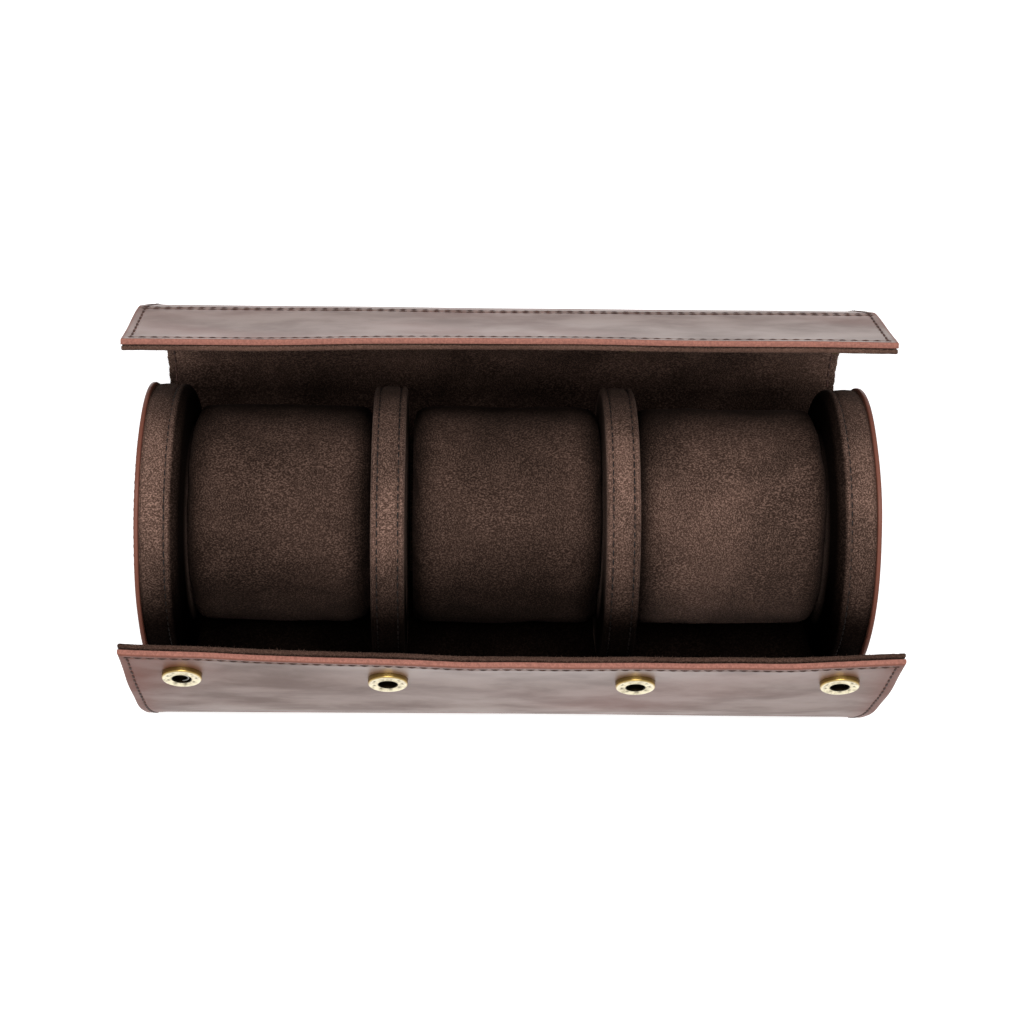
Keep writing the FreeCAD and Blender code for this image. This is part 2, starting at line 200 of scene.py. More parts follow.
class Graph:
    """A node tree that is written one node per call."""

    def __init__(self, tree: bpy.types.NodeTree) -> None:
        """Keep the tree that the nodes go into."""
        self.tree = tree

    def add(self, kind: str, inputs: dict[Any, Any] | None = None, **settings: Any) -> Node:
        """Add a node.

        Args:
            kind: The node's type name.
            inputs: A value or a linked socket for each input, by name or number.
            settings: The node's own settings.

        Returns:
            The new node.
        """
        node = self.tree.nodes.new(kind)
        for name, value in settings.items():
            setattr(node, name, value)
        for name, value in (inputs or {}).items():
            self.feed(node.inputs[name], value)
        return node

    def feed(self, socket: Socket, value: Any) -> None:
        """Link a socket, or set its value.

        Args:
            socket: The input to feed.
            value: Another socket, or a plain value.
        """
        if isinstance(value, Socket):
            self.tree.links.new(value, socket)
        else:
            socket.default_value = value

    def set(self, node: Node, **values: Any) -> None:
        """Feed a node's sockets, named with underscores for spaces."""
        for name, value in values.items():
            self.feed(node.inputs[name.replace("_", " ")], value)

    def math(self, operation: str, first: Any, second: Any = 0.0) -> Socket:
        """Join two values by an operation."""
        return self.add("ShaderNodeMath", {0: first, 1: second}, operation=operation).outputs[0]

    def scaled(self, value: Any, factor: Any, plus: Any = None) -> Socket:
        """A value times a factor, plus another value where one is given."""
        product = self.math("MULTIPLY", value, factor)
        return product if plus is None else self.math("ADD", product, plus)

    def stored(self, label: str) -> Socket:
        """A value that is stored at a mesh's points."""
        return self.add("ShaderNodeAttribute", attribute_name=label).outputs["Fac"]

    def ease(self, value: Any, low: float, high: float) -> Socket:
        """A smooth mask that is 0 below low and 1 above high."""
        sockets = {"Value": value, "From Min": low, "From Max": high}
        return self.add("ShaderNodeMapRange", sockets, interpolation_type="SMOOTHSTEP").outputs[0]

    def mix(self, share: Any, first: Any, second: Any) -> Socket:
        """Blend two colours.

        Args:
            share: The share of the second.
            first: A colour or a socket.
            second: Another.

        Returns:
            The blend's socket.
        """
        colours = [(*c, 1.0) if isinstance(c, tuple) else c for c in (first, second)]
        node = self.add("ShaderNodeMix", data_type="RGBA")
        for number, value in ((0, share), (6, colours[0]), (7, colours[1])):
            self.feed(node.inputs[number], value)
        return node.outputs[2]

    def noise(self, where: Any, scale: Any, detail: float, rough: float, bend: float = 0.0) -> Socket:
        """A cloud pattern."""
        sockets = {"Vector": where, "Scale": scale, "Detail": detail, "Roughness": rough, "Distortion": bend}
        return self.add("ShaderNodeTexNoise", sockets).outputs[0]

    def bump(self, height: Any, strength: float, distance_mm: float) -> Socket:
        """A normal from a height."""
        sockets = {"Height": height, "Strength": strength, "Distance": distance_mm * MM}
        return self.add("ShaderNodeBump", sockets).outputs[0]

    def stretch(self, where: Any, scale: Colour, turn: float = 0.0) -> Socket:
        """Coordinates that are scaled, and turned about Z."""
        sockets = {"Vector": where, "Scale": scale, "Rotation": (0.0, 0.0, turn)}
        return self.add("ShaderNodeMapping", sockets).outputs[0]


def add_socket(tree: bpy.types.NodeTree, label: str, kind: str, way: str = "INPUT") -> Any:
    """Add a named input, or an output, to a node group."""
    return tree.interface.new_socket(label, in_out=way, socket_type="NodeSocket" + kind)


def effect_group(name: str, inputs: dict[str, float | None],
                 outputs: Sequence[str]) -> tuple[Graph, Node, Node]:
    """Start a shader node group.

    Args:
        name: The group's name.
        inputs: Its value inputs and their defaults; None marks a vector.
        outputs: Its value outputs.

    Returns:
        The graph, the input node and the output node.
    """
    tree = bpy.data.node_groups.new(name, "ShaderNodeTree")
    for label, default in inputs.items():
        socket = add_socket(tree, label, "Vector" if default is None else "Float")
        if default is not None:
            socket.default_value = default
    for label in outputs:
        add_socket(tree, label, "Float", "OUTPUT")
    graph = Graph(tree)
    return graph, graph.add("NodeGroupInput"), graph.add("NodeGroupOutput")


def nap_group() -> bpy.types.NodeTree:
    """Brushed suede: short strokes of nap and broad lighter patches.

    Returns:
        A group that puts out Fleck, Patch and Height.
    """
    graph, given, out = effect_group("Nap", {"Place": None, "Grain": 1500.0}, ("Fleck", "Patch", "Height"))
    place, grain = given.outputs["Place"], given.outputs["Grain"]
    across = graph.stretch(place, (1.0, 0.72, 0.72), math.radians(24))
    along = graph.stretch(place, (0.72, 1.0, 1.0), math.radians(-18))
    first = graph.noise(across, grain, 2.0, 0.7, 0.2)
    second = graph.noise(along, graph.scaled(grain, 0.8), 2.0, 0.7, 0.2)
    lie = graph.ease(graph.noise(place, 55.0, 1.0, 0.5), 0.42, 0.58)
    turned = graph.math("SUBTRACT", second, first)
    stroke = graph.scaled(turned, lie, first)
    broad = graph.noise(place, 27.0, 2.0, 0.5, 0.3)
    middle = graph.noise(place, 130.0, 3.0, 0.6)
    patch = graph.scaled(broad, 0.82, graph.scaled(middle, 0.18))
    graph.set(out, Fleck=graph.ease(stroke, 0.43, 0.67), Patch=graph.ease(patch, 0.36, 0.64))
    graph.set(out, Height=stroke)
    return graph.tree


def hide_group() -> bpy.types.NodeTree:
    """Waxed hide: warm pulled-up patches, darker clouds, pores and faint scuffs.

    Returns:
        A group that puts out Pull, Cloud, Scuff and Height.
    """
    results = ("Pull", "Cloud", "Scuff", "Height")
    graph, given, out = effect_group("Hide", {"Place": None, "Pores": 1500.0}, results)
    place, pores = given.outputs["Place"], given.outputs["Pores"]
    pull = graph.noise(graph.stretch(place, (0.6, 1.3, 1.3)), 14.0, 2.0, 0.5, 0.4)
    cloud = graph.noise(graph.stretch(place, (0.55, 1.0, 1.0)), 60.0, 4.0, 0.58, 0.2)
    streak = graph.noise(graph.stretch(place, (0.14, 1.0, 1.0), math.radians(14)), 520.0, 2.0, 0.6, 0.5)
    cells = graph.add("ShaderNodeTexVoronoi", {"Vector": place, "Scale": pores}).outputs["Distance"]
    fine = graph.noise(place, 900.0, 3.0, 0.6)
    height = graph.scaled(cells, 0.35, graph.scaled(fine, 0.65))
    graph.set(out, Pull=graph.ease(pull, 0.42, 0.72), Cloud=graph.ease(cloud, 0.30, 0.70))
    graph.set(out, Scuff=graph.ease(streak, 0.66, 0.80), Height=height)
    return graph.tree


def tarnish_group() -> bpy.types.NodeTree:
    """Old metal: dark tarnish in patches, and fine rub marks.

    Returns:
        A group that puts out Tarnish, Rub and Height.
    """
    results = ("Tarnish", "Rub", "Height")
    graph, given, out = effect_group("Tarnish", {"Place": None, "Spots": 420.0}, results)
    place, spots = given.outputs["Place"], given.outputs["Spots"]
    cloud = graph.noise(place, spots, 4.0, 0.6, 0.4)
    rub = graph.noise(graph.stretch(place, (1.0, 0.2, 0.2), math.radians(30)), 2600.0, 2.0, 0.6)
    graph.set(out, Tarnish=graph.ease(cloud, 0.42, 0.70), Rub=rub, Height=graph.scaled(rub, 0.4, cloud))
    return graph.tree


# Finishes

class Effects:
    """The shared shader groups, each built once."""

    def __init__(self) -> None:
        """Build the groups."""
        self.nap = nap_group()
        self.hide = hide_group()
        self.tarnish = tarnish_group()


def new_material(name: str, colour: Colour) -> tuple[Material, Graph, Node]:
    """Start a material with its surface shader.

    Args:
        name: The material's name.
        colour: Its plain colour in a solid view.

    Returns:
        The material, its graph and its surface shader.
    """
    material = bpy.data.materials.new(name)
    material.use_nodes = True
    material.diffuse_color = (*colour, 1.0)
    graph = Graph(material.node_tree)
    return material, graph, material.node_tree.nodes["Principled BSDF"]


class Mapping(Enum):
    """Which coordinates a pattern follows."""

    OBJECT = "Object"
    SHEET = "Sheet"


def pattern_place(graph: Graph, mapping: Mapping) -> Socket:
    """The coordinates that a pattern follows, in metres.

    Args:
        graph: The material's graph.
        mapping: Which coordinates they are.

    Returns:
        Their socket.
    """
    if mapping is Mapping.SHEET:
        flat = graph.add("ShaderNodeUVMap", uv_map=FLAT_MAP).outputs[0]
        depth = graph.stored(DEPTH)
        through = graph.add("ShaderNodeCombineXYZ", {"Z": depth}).outputs[0]
        return graph.add("ShaderNodeVectorMath", {0: flat, 1: through}, operation="ADD").outputs[0]
    return graph.add("ShaderNodeTexCoord").outputs["Object"]


@dataclass(frozen=True)
class Finish:
    """Base of every finish, the look of one kind of surface."""

    name: str

    def material(self, effects: Effects) -> Material:
        """Build the material.

        Args:
            effects: The shared shader groups.

        Returns:
            The material.
        """
        raise NotImplementedError


@dataclass(frozen=True)
class LeatherFinish(Finish):
    """Waxed leather with raw, reddish cut edges."""

    mapping: Mapping
    deep: Colour = (0.115, 0.050, 0.032)
    body: Colour = (0.195, 0.096, 0.064)
    warm: Colour = (0.215, 0.072, 0.048)
    raw: Colour = (0.48, 0.205, 0.155)
    scuffed: Colour = (0.24, 0.15, 0.12)
    pores: float = 1500.0
    coat: float = 0.02
    polish: float = 0.85

    def material(self, effects: Effects) -> Material:
        """Build the material."""
        material, graph, shader = new_material(self.name, self.body)
        place = pattern_place(graph, self.mapping)
        hide = graph.add("ShaderNodeGroup", node_tree=effects.hide)
        graph.set(hide, Place=place, Pores=self.pores)
        pull, cloud, scuff = (hide.outputs[n] for n in ("Pull", "Cloud", "Scuff"))
        cut = graph.stored(CUT_AND_HOLLOW_SHADE)
        margin = graph.stored(MARGIN)
        tone = graph.mix(cloud, self.deep, self.body)
        tone = graph.mix(graph.scaled(pull, 0.75), tone, self.warm)
        tone = graph.mix(graph.scaled(margin, 0.8), tone, self.warm)
        tone = graph.mix(graph.scaled(scuff, 0.35), tone, self.scuffed)
        fibre = graph.noise(place, 1100.0, 3.0, 0.7)
        raw = graph.mix(graph.ease(fibre, 0.3, 0.7), tuple(0.66 * c for c in self.raw), self.raw)
        bare = graph.ease(cut, 0.08, 0.92)
        graph.set(shader, Base_Color=graph.mix(bare, tone, raw))
        gloss = graph.scaled(cloud, -0.10, 0.50)
        gloss = graph.scaled(scuff, 0.15, gloss)
        gloss = graph.scaled(bare, 0.35, gloss)
        graph.set(shader, Roughness=gloss)
        worn = graph.math("MAXIMUM", bare, graph.scaled(margin, 0.85))
        waxed = graph.math("SUBTRACT", 1.0, worn)
        rubbed = graph.stored(RUBBED)
        polish = graph.scaled(rubbed, self.polish, self.coat)
        graph.set(shader, Coat_Weight=graph.scaled(waxed, polish))
        mottle = graph.scaled(cloud, 0.22, 0.10)
        mottle = graph.math("SUBTRACT", mottle, graph.scaled(pull, 0.08))
        shine = graph.scaled(waxed, mottle, 0.12)
        graph.set(shader, Specular_IOR_Level=shine, Coat_Roughness=0.42, Coat_IOR=1.45)
        graph.set(shader, Normal=graph.bump(hide.outputs["Height"], 0.22, 0.12))
        return material


@dataclass(frozen=True)
class SuedeFinish(Finish):
    """Dark chocolate suede with brushed nap, and painted shade from a stored value."""

    mapping: Mapping
    dark: Colour = (0.040, 0.0220, 0.0160)
    mid: Colour = (0.092, 0.051, 0.038)
    light: Colour = (0.58, 0.355, 0.272)
    edge: Colour = (0.17, 0.088, 0.062)
    grain: float = 2500.0

    def material(self, effects: Effects) -> Material:
        """Build the material."""
        material, graph, shader = new_material(self.name, self.mid)
        nap = graph.add("ShaderNodeGroup", node_tree=effects.nap)
        graph.set(nap, Place=pattern_place(graph, self.mapping), Grain=self.grain)
        fleck, patch = nap.outputs["Fleck"], nap.outputs["Patch"]
        ground = graph.mix(patch, self.dark, self.mid)
        lift = graph.scaled(patch, 0.26, 0.34)
        tone = graph.mix(graph.scaled(fleck, lift), ground, self.light)
        cut = graph.stored(CUT_AND_HOLLOW_SHADE)
        frayed = graph.scaled(cut, graph.scaled(fleck, 0.5, 0.35))
        tone = graph.mix(frayed, tone, self.edge)
        # Painted shade: the stored value blends the colour towards black, and takes sheen and specular away
        # where it is deep
        shade = graph.stored(SHADE)
        graph.set(shader, Base_Color=graph.mix(shade, tone, (0.0, 0.0, 0.0)))
        graph.set(shader, Roughness=graph.math("SUBTRACT", 1.0, graph.scaled(fleck, 0.12)))
        painted_lit = graph.math("SUBTRACT", 1.0, shade)
        graph.set(shader, Sheen_Weight=graph.scaled(painted_lit, 0.2), Specular_IOR_Level=graph.scaled(painted_lit, 0.15))
        graph.set(shader, Sheen_Roughness=0.45, Sheen_Tint=(0.62, 0.42, 0.34, 1.0))
        graph.set(shader, Normal=graph.bump(nap.outputs["Height"], 0.75, 0.45))
        return material


@dataclass(frozen=True)
class ThreadFinish(Finish):
    """Twisted, waxed sewing thread."""

    dark: Colour = (0.045, 0.0210, 0.0160)
    light: Colour = (0.140, 0.068, 0.052)

    def material(self, effects: Effects) -> Material:
        """Build the material."""
        material, graph, shader = new_material(self.name, self.light)
        place = pattern_place(graph, Mapping.OBJECT)
        twist = graph.noise(graph.stretch(place, (1.0, 0.5, 0.5), math.radians(40)), 2600.0, 2.0, 0.6)
        worn = graph.noise(place, 160.0, 2.0, 0.5)
        share = graph.scaled(graph.ease(twist, 0.35, 0.65), graph.ease(worn, 0.3, 0.7))
        graph.set(shader, Base_Color=graph.mix(share, self.dark, self.light))
        graph.set(shader, Roughness=graph.scaled(worn, 0.2, 0.5), Specular_IOR_Level=0.25)
        graph.set(shader, Normal=graph.bump(twist, 0.5, 0.15))
        return material


@dataclass(frozen=True)
class MetalFinish(Finish):
    """Old metal, dark where it has tarnished, with painted shade in its hollows."""

    bright: Colour
    tarnished: Colour
    aged: Colour
    tarnish_share: float = 0.45
    smooth: float = 0.24

    def material(self, effects: Effects) -> Material:
        """Build the material."""
        material, graph, shader = new_material(self.name, self.bright)
        old = graph.add("ShaderNodeGroup", node_tree=effects.tarnish)
        graph.set(old, Place=pattern_place(graph, Mapping.OBJECT))
        # The stored cut value here is painted shade in a snap's hole and low on its outer wall, plus the
        # dark fill of its dimples; it blends the colour towards black
        cavity = graph.stored(CUT_AND_HOLLOW_SHADE)
        spots = graph.scaled(old.outputs["Tarnish"], self.tarnish_share)
        dark = graph.math("MAXIMUM", spots, cavity)
        tone = graph.mix(spots, self.bright, self.tarnished)
        rim = graph.stored(MARGIN)
        tone = graph.mix(rim, tone, self.aged)
        black = tuple(0.1 * c for c in self.tarnished)
        graph.set(shader, Base_Color=graph.mix(cavity, tone, black))
        rough = graph.scaled(dark, 0.25, self.smooth)
        rough = graph.scaled(old.outputs["Rub"], 0.12, rough)
        graph.set(shader, Roughness=rough, Metallic=1.0)
        graph.set(shader, Normal=graph.bump(old.outputs["Height"], 0.15, 0.05))
        return material


@dataclass(frozen=True)
class BoardFinish(Finish):
    """Pressed fibre board or foam that lies hidden under the covers."""

    dark: Colour
    light: Colour
    fibre: float = 700.0

    def material(self, effects: Effects) -> Material:
        """Build the material."""
        material, graph, shader = new_material(self.name, self.light)
        place = pattern_place(graph, Mapping.OBJECT)
        strands = graph.noise(graph.stretch(place, (1.0, 0.3, 1.0)), self.fibre, 4.0, 0.65)
        tone = graph.mix(graph.ease(strands, 0.3, 0.7), self.dark, self.light)
        graph.set(shader, Base_Color=tone, Roughness=graph.scaled(strands, 0.2, 0.75))
        graph.set(shader, Normal=graph.bump(strands, 0.3, 0.2))
        return material


class Finishes:
    """Every material of the roll, each built once."""

    def __init__(self) -> None:
        """Build the materials."""
        effects = Effects()

        def build(finish: Finish) -> Material:
            """Build the material of a finish."""
            return finish.material(effects)

        self.leather = build(LeatherFinish("wrap_leather", Mapping.SHEET))
        self.cap_leather = build(LeatherFinish("cap_leather", Mapping.OBJECT))
        self.lining = build(SuedeFinish(
            "lining_suede", Mapping.SHEET, dark=(0.056, 0.031, 0.023), mid=(0.13, 0.073, 0.054),
            light=(0.72, 0.45, 0.345), edge=(0.27, 0.14, 0.10)))
        self.suede = build(SuedeFinish("cushion_suede", Mapping.OBJECT))
        self.thread = build(ThreadFinish("sewing_thread"))
        self.dark_thread = build(ThreadFinish(
            "dark_thread", (0.006, 0.0042, 0.0036), (0.020, 0.0125, 0.010)))
        self.brass = build(MetalFinish(
            "antique_brass", (0.72, 0.65, 0.47), (0.11, 0.075, 0.038), (0.36, 0.24, 0.075)))
        # Old brass darkened near black as painted shade: the studs under the band show as shade, and the
        # feet and rivets take the same
        self.brass_in_painted_shade = build(MetalFinish(
            "brass_in_painted_shade", (0.060, 0.042, 0.020), (0.02, 0.014, 0.008), (0.05, 0.033, 0.014)))
        # The spring wire's colour is darkened as painted shade inside the sockets' holes
        self.steel = build(MetalFinish(
            "spring_wire", (0.30, 0.29, 0.27), (0.05, 0.045, 0.04), (0.2, 0.2, 0.18)))
        self.board = build(BoardFinish("backing_board", (0.30, 0.22, 0.15), (0.48, 0.38, 0.28)))
        self.stiffener = build(BoardFinish(
            "stiffener_board", (0.12, 0.09, 0.07), (0.24, 0.19, 0.15), 500.0))


# Meshes

def linked(name: str, data: Any) -> Piece:
    """Link some data into the scene as an object at the origin.

    Args:
        name: The object's name.
        data: A mesh, camera or lamp.

    Returns:
        The object.
    """
    thing = bpy.data.objects.new(name, data)
    bpy.context.scene.collection.objects.link(thing)
    return thing


def evaluated(piece: Piece) -> Mesh:
    """A plain mesh of an object with its modifiers applied."""
    graph = bpy.context.evaluated_depsgraph_get()
    return bpy.data.meshes.new_from_object(piece.evaluated_get(graph))


def new_object(name: str, mesh: Mesh, material: Material) -> Piece:
    """Link a mesh as an object at the origin, with one material.

    Args:
        name: The object's name.
        mesh: The mesh.
        material: Its only material.

    Returns:
        The object.
    """
    piece = linked(name, mesh)
    mesh.materials.clear()
    mesh.materials.append(material)
    return piece


def mesh_from(name: str, points_mm: Array, faces: Sequence[Sequence[int]], sharp_deg: float = 42.0,
              values: dict[str, Array] | None = None) -> Mesh:
    """Make a smooth mesh with outward faces.

    Args:
        name: The mesh's name.
        points_mm: Its points.
        faces: The point numbers of each face.
        sharp_deg: Edges that turn by more than this stay sharp.
        values: A value at each point, by attribute name.

    Returns:
        The mesh, in metres.
    """
    mesh = bpy.data.meshes.new(name)
    mesh.from_pydata((np.asarray(points_mm, float) * MM).tolist(), [], [list(f) for f in faces])
    for label, numbers in (values or {}).items():
        add_values(mesh, label, numbers)
    shell = bmesh.new()
    shell.from_mesh(mesh)
    bmesh.ops.recalc_face_normals(shell, faces=shell.faces)
    shell.to_mesh(mesh)
    shell.free()
    mesh.shade_smooth()
    mesh.set_sharp_from_angle(angle=math.radians(sharp_deg))
    return mesh


def slab_faces(rows: int, columns: int) -> Faces:
    """Faces of a slab whose points are two grids, one after the other.

    Args:
        rows: Rows of each grid.
        columns: Columns of each grid.

    Returns:
        The faces of both sides and of the four edges.
    """
    def at(grid: int, row: int, column: int) -> int:
        """The number of a point."""
        return (grid * rows + row) * columns + column

    faces = []
    for row in range(rows - 1):
        for column in range(columns - 1):
            for grid in (0, 1):
                faces.append((at(grid, row, column), at(grid, row, column + 1),
                              at(grid, row + 1, column + 1), at(grid, row + 1, column)))
    for row in range(rows - 1):
        for column in (0, columns - 1):
            faces.append((at(0, row, column), at(0, row + 1, column),
                          at(1, row + 1, column), at(1, row, column)))
    for column in range(columns - 1):
        for row in (0, rows - 1):
            faces.append((at(0, row, column), at(0, row, column + 1),
                          at(1, row, column + 1), at(1, row, column)))
    return faces


def tube_faces(rings: int, segments: int) -> Faces:
    """Faces of a closed tube whose points are its rings and then its two poles.

    Args:
        rings: How many rings it has.
        segments: The points of each ring.

    Returns:
        The faces of its side and of both ends.
    """
    faces: Faces = []
    pole = rings * segments
    last = pole - segments
    for step in range(segments):
        after = (step + 1) % segments
        for low in range(0, last, segments):
            high = low + segments
            faces.append((low + step, low + after, high + after, high + step))
        faces.append((pole, after, step))
        faces.append((pole + 1, last + step, last + after))
    return faces


def lathe(profile: Outline, segments: int) -> tuple[Array, Faces]:
    """Turn a profile about the X axis.

    Args:
        profile: Points (x, radius) from one end on the axis to the other.
        segments: Steps round the axis.

    Returns:
        The points and the faces of a closed shape.
    """
    inner = profile[1:-1]
    angles = np.arange(segments) * 2 * math.pi / segments
    rings = [np.stack([np.full(segments, x), r * np.cos(angles), r * np.sin(angles)], 1) for x, r in inner]
    poles = np.array([[profile[0][0], 0.0, 0.0], [profile[-1][0], 0.0, 0.0]])
    return np.concatenate(rings + [poles]), tube_faces(len(inner), segments)


def arc(centre: Span, radius: Span, start: float, end: float, steps: int) -> Outline:
    """Points of an elliptic arc, with angles in degrees."""
    angles = np.radians(np.linspace(start, end, steps))
    return [(centre[0] + radius[0] * math.cos(a), centre[1] + radius[1] * math.sin(a)) for a in angles]


def roughened(points_mm: Array, centre_mm: Sequence[float], height: float, size: float,
              seed: float) -> Array:
    """Move points in and out from a centre by smooth noise.

    Args:
        points_mm: The points.
        centre_mm: The centre that they move from.
        height: The largest move.
        size: The width of a dent.
        seed: Where in the noise the piece lies.

    Returns:
        The moved points.
    """
    away = points_mm - np.asarray(centre_mm)
    length = np.maximum(np.linalg.norm(away, axis=1, keepdims=True), 1e-6)
    shift = np.array([noise.noise(Vector(p) / size + Vector((seed, seed, seed))) for p in points_mm])
    return points_mm + away / length * (height * shift)[:, None]


# Geometry Nodes: what repeats along a seam or on a seat

class SeamTree:
    """Base of a node tree that sets small shapes along sewn lines."""

    name = "Seam"
    sizes: dict[str, float] = {}

    def __init__(self) -> None:
        """Build the tree with one named input per size."""
        self.tree = bpy.data.node_groups.new(self.name, "GeometryNodeTree")
        add_socket(self.tree, "Lines", "Geometry")
        self.keys: dict[str, str] = {}
        for label, default in self.sizes.items():
            socket = add_socket(self.tree, label, "Float")
            socket.default_value = default
            self.keys[label] = socket.identifier
        seed = add_socket(self.tree, "Seed", "Int")
        finish = add_socket(self.tree, "Finish", "Material")
        self.keys.update(Seed=seed.identifier, Finish=finish.identifier)
        add_socket(self.tree, "Shapes", "Geometry", "OUTPUT")
        self.graph = Graph(self.tree)
        self.given = self.graph.add("NodeGroupInput")
        placed = self.place()
        real = self.graph.add("GeometryNodeRealizeInstances", {"Geometry": placed}).outputs[0]
        smooth = self.graph.add("GeometryNodeSetShadeSmooth", {"Geometry": real}).outputs[0]
        dressed = self.graph.add("GeometryNodeSetMaterial", {
            "Geometry": smooth, "Material": self.given.outputs["Finish"]})
        self.graph.add("NodeGroupOutput", {"Shapes": dressed.outputs[0]})

    def place(self) -> Socket:
        """Set the shapes on the lines, as each kind of seam does.

        Returns:
            The shapes, as instances.
        """
        raise NotImplementedError

    def attribute(self, label: str) -> Socket:
        """A direction that is stored on the lines."""
        node = self.graph.add("GeometryNodeInputNamedAttribute", {"Name": label}, data_type="FLOAT_VECTOR")
        return node.outputs[0]

    def random(self, low: Any, high: Any, kind: str, step: int) -> Socket:
        """A random value that comes out the same in each run.

        Args:
            low: The least value.
            high: The largest.
            kind: Its data type.
            step: What is added to the seed.

        Returns:
            The value's socket.
        """
        numbers = {"FLOAT": (2, 3, 1), "FLOAT_VECTOR": (0, 1, 0)}[kind]
        node = self.graph.add("FunctionNodeRandomValue", data_type=kind)
        seed = self.graph.math("ADD", self.given.outputs["Seed"], float(step))
        node.inputs[numbers[0]].default_value = low
        node.inputs[numbers[1]].default_value = high
        self.graph.feed(node.inputs["Seed"], seed)
        return node.outputs[numbers[2]]

    def sampled(self, spacing: Socket) -> Socket:
        """The lines as curves with evenly spaced points.

        Args:
            spacing: The points' distance.

        Returns:
            The curves.
        """
        curve = self.graph.add("GeometryNodeMeshToCurve", {"Mesh": self.given.outputs["Lines"]}).outputs[0]
        sockets = {"Curve": curve, "Length": spacing}
        return self.graph.add("GeometryNodeResampleCurve", sockets, mode="LENGTH").outputs[0]

    def facing(self, normal: Socket, tangent: Socket) -> Socket:
        """A turn that puts Z on the normal and X along the seam.

        Args:
            normal: The seat's normal.
            tangent: The way along the seam.

        Returns:
            The turn.
        """
        up = self.graph.add("FunctionNodeAlignRotationToVector", {"Vector": normal}, axis="Z")
        sockets = {"Rotation": up.outputs[0], "Vector": tangent}
        turned = self.graph.add("FunctionNodeAlignRotationToVector", sockets, axis="X", pivot_axis="Z")
        return turned.outputs[0]

    def run(self, name: str, lines: Mesh, finish: Material, seed: int, **sizes: Any) -> Mesh:
        """Evaluate the tree on lines.

        Args:
            name: The new mesh's name.
            lines: Edges with a seat normal at each point.
            finish: The material of the shapes.
            seed: The seed of their unevenness.
            sizes: Sizes in millimetres, by input name, where they differ.

        Returns:
            A plain mesh of all the shapes.
        """
        carrier = linked(name + "_lines", lines)
        modifier = carrier.modifiers.new("Seam", "NODES")
        modifier.node_group = self.tree
        for label, value in {**self.sizes, **sizes}.items():
            modifier[self.keys[label]] = value * MM if label in self.sizes else value
        modifier[self.keys["Seed"]] = seed
        modifier[self.keys["Finish"]] = finish
        bpy.context.view_layer.update()
        mesh = evaluated(carrier)
        mesh.name = name
        carrier.modifiers.remove(modifier)
        bpy.data.objects.remove(carrier)
        bpy.data.meshes.remove(lines)
        return mesh


class StitchTree(SeamTree):
    """Lock stitches: short arched threads whose ends dive into the sheet."""

    name = "Stitches"
    sizes = {"Pitch": 3.9, "Length": 3.4, "Thread": 0.40, "Rise": 0.36, "Dive": 0.45}

    def place(self) -> Socket:
        """Set one thread arch at each step of the lines."""
        graph, size = self.graph, self.given.outputs
        half = graph.scaled(size["Length"], 0.5)
        depth = graph.scaled(size["Dive"], -1.0)

        def point(x: Any, z: Any) -> Socket:
            """A point of the arch."""
            return graph.add("ShaderNodeCombineXYZ", {"X": x, "Z": z}).outputs[0]

        arch = graph.add("GeometryNodeCurveQuadraticBezier", {
            "Resolution": 6, "Start": point(graph.scaled(half, -1.0), depth),
            "Middle": point(0.0, graph.math("ADD", size["Rise"], size["Dive"])), "End": point(half, depth)})
        ring = graph.add("GeometryNodeCurvePrimitiveCircle", {"Resolution": 6, "Radius": size["Thread"]})
        thread = graph.add("GeometryNodeCurveToMesh", {
            "Curve": arch.outputs[0], "Profile Curve": ring.outputs[0], "Fill Caps": True})
        tangent = graph.add("GeometryNodeInputTangent").outputs[0]
        turn = self.facing(self.attribute(NORMAL), tangent)
        skew = graph.add("FunctionNodeAxisAngleToRotation", {
            "Axis": (0.0, 0.0, 1.0), "Angle": self.random(-0.03, 0.11, "FLOAT", 1)})
        turn = graph.add("FunctionNodeRotateRotation", {"Rotation": turn, "Rotate By": skew.outputs[0]},
                         rotation_space="LOCAL").outputs[0]
        return graph.add("GeometryNodeInstanceOnPoints", {
            "Points": self.sampled(size["Pitch"]), "Instance": thread.outputs[0],
            "Rotation": turn}).outputs[0]


class FuzzTree(SeamTree):
    """Loose suede fibres that stand out of a cut edge or a seam."""

    name = "Fuzz"
    sizes = {"Spacing": 0.20, "Length": 0.75, "Fibre": 0.055, "Scatter": 0.55}

    def place(self) -> Socket:
        """Set thin cones on the lines, leaning at random."""
        graph, size = self.graph, self.given.outputs
        curve = self.sampled(size["Spacing"])
        stray = self.random((-1.0,) * 3, (1.0,) * 3, "FLOAT_VECTOR", 1)
        spread = graph.add("ShaderNodeVectorMath", {0: stray}, operation="SCALE")
        graph.set(spread, Scale=size["Scatter"])
        sockets = {"Geometry": curve, "Offset": spread.outputs[0]}
        curve = graph.add("GeometryNodeSetPosition", sockets).outputs[0]
        cone = graph.add("GeometryNodeMeshCone", {
            "Vertices": 3, "Side Segments": 1, "Radius Top": 0.0, "Radius Bottom": size["Fibre"],
            "Depth": size["Length"]}, fill_type="NGON").outputs[0]
        tilt = self.random((-0.9,) * 3, (0.9,) * 3, "FLOAT_VECTOR", 2)
        lean = graph.add("ShaderNodeVectorMath", {0: self.attribute(NORMAL), 1: tilt}, operation="ADD")
        turn = graph.add("FunctionNodeAlignRotationToVector", {"Vector": lean.outputs[0]}, axis="Z")
        return graph.add("GeometryNodeInstanceOnPoints", {
            "Points": curve, "Instance": cone, "Rotation": turn.outputs[0],
            "Scale": self.random((0.6, 0.6, 0.4), (1.2, 1.2, 1.3), "FLOAT_VECTOR", 3)}).outputs[0]


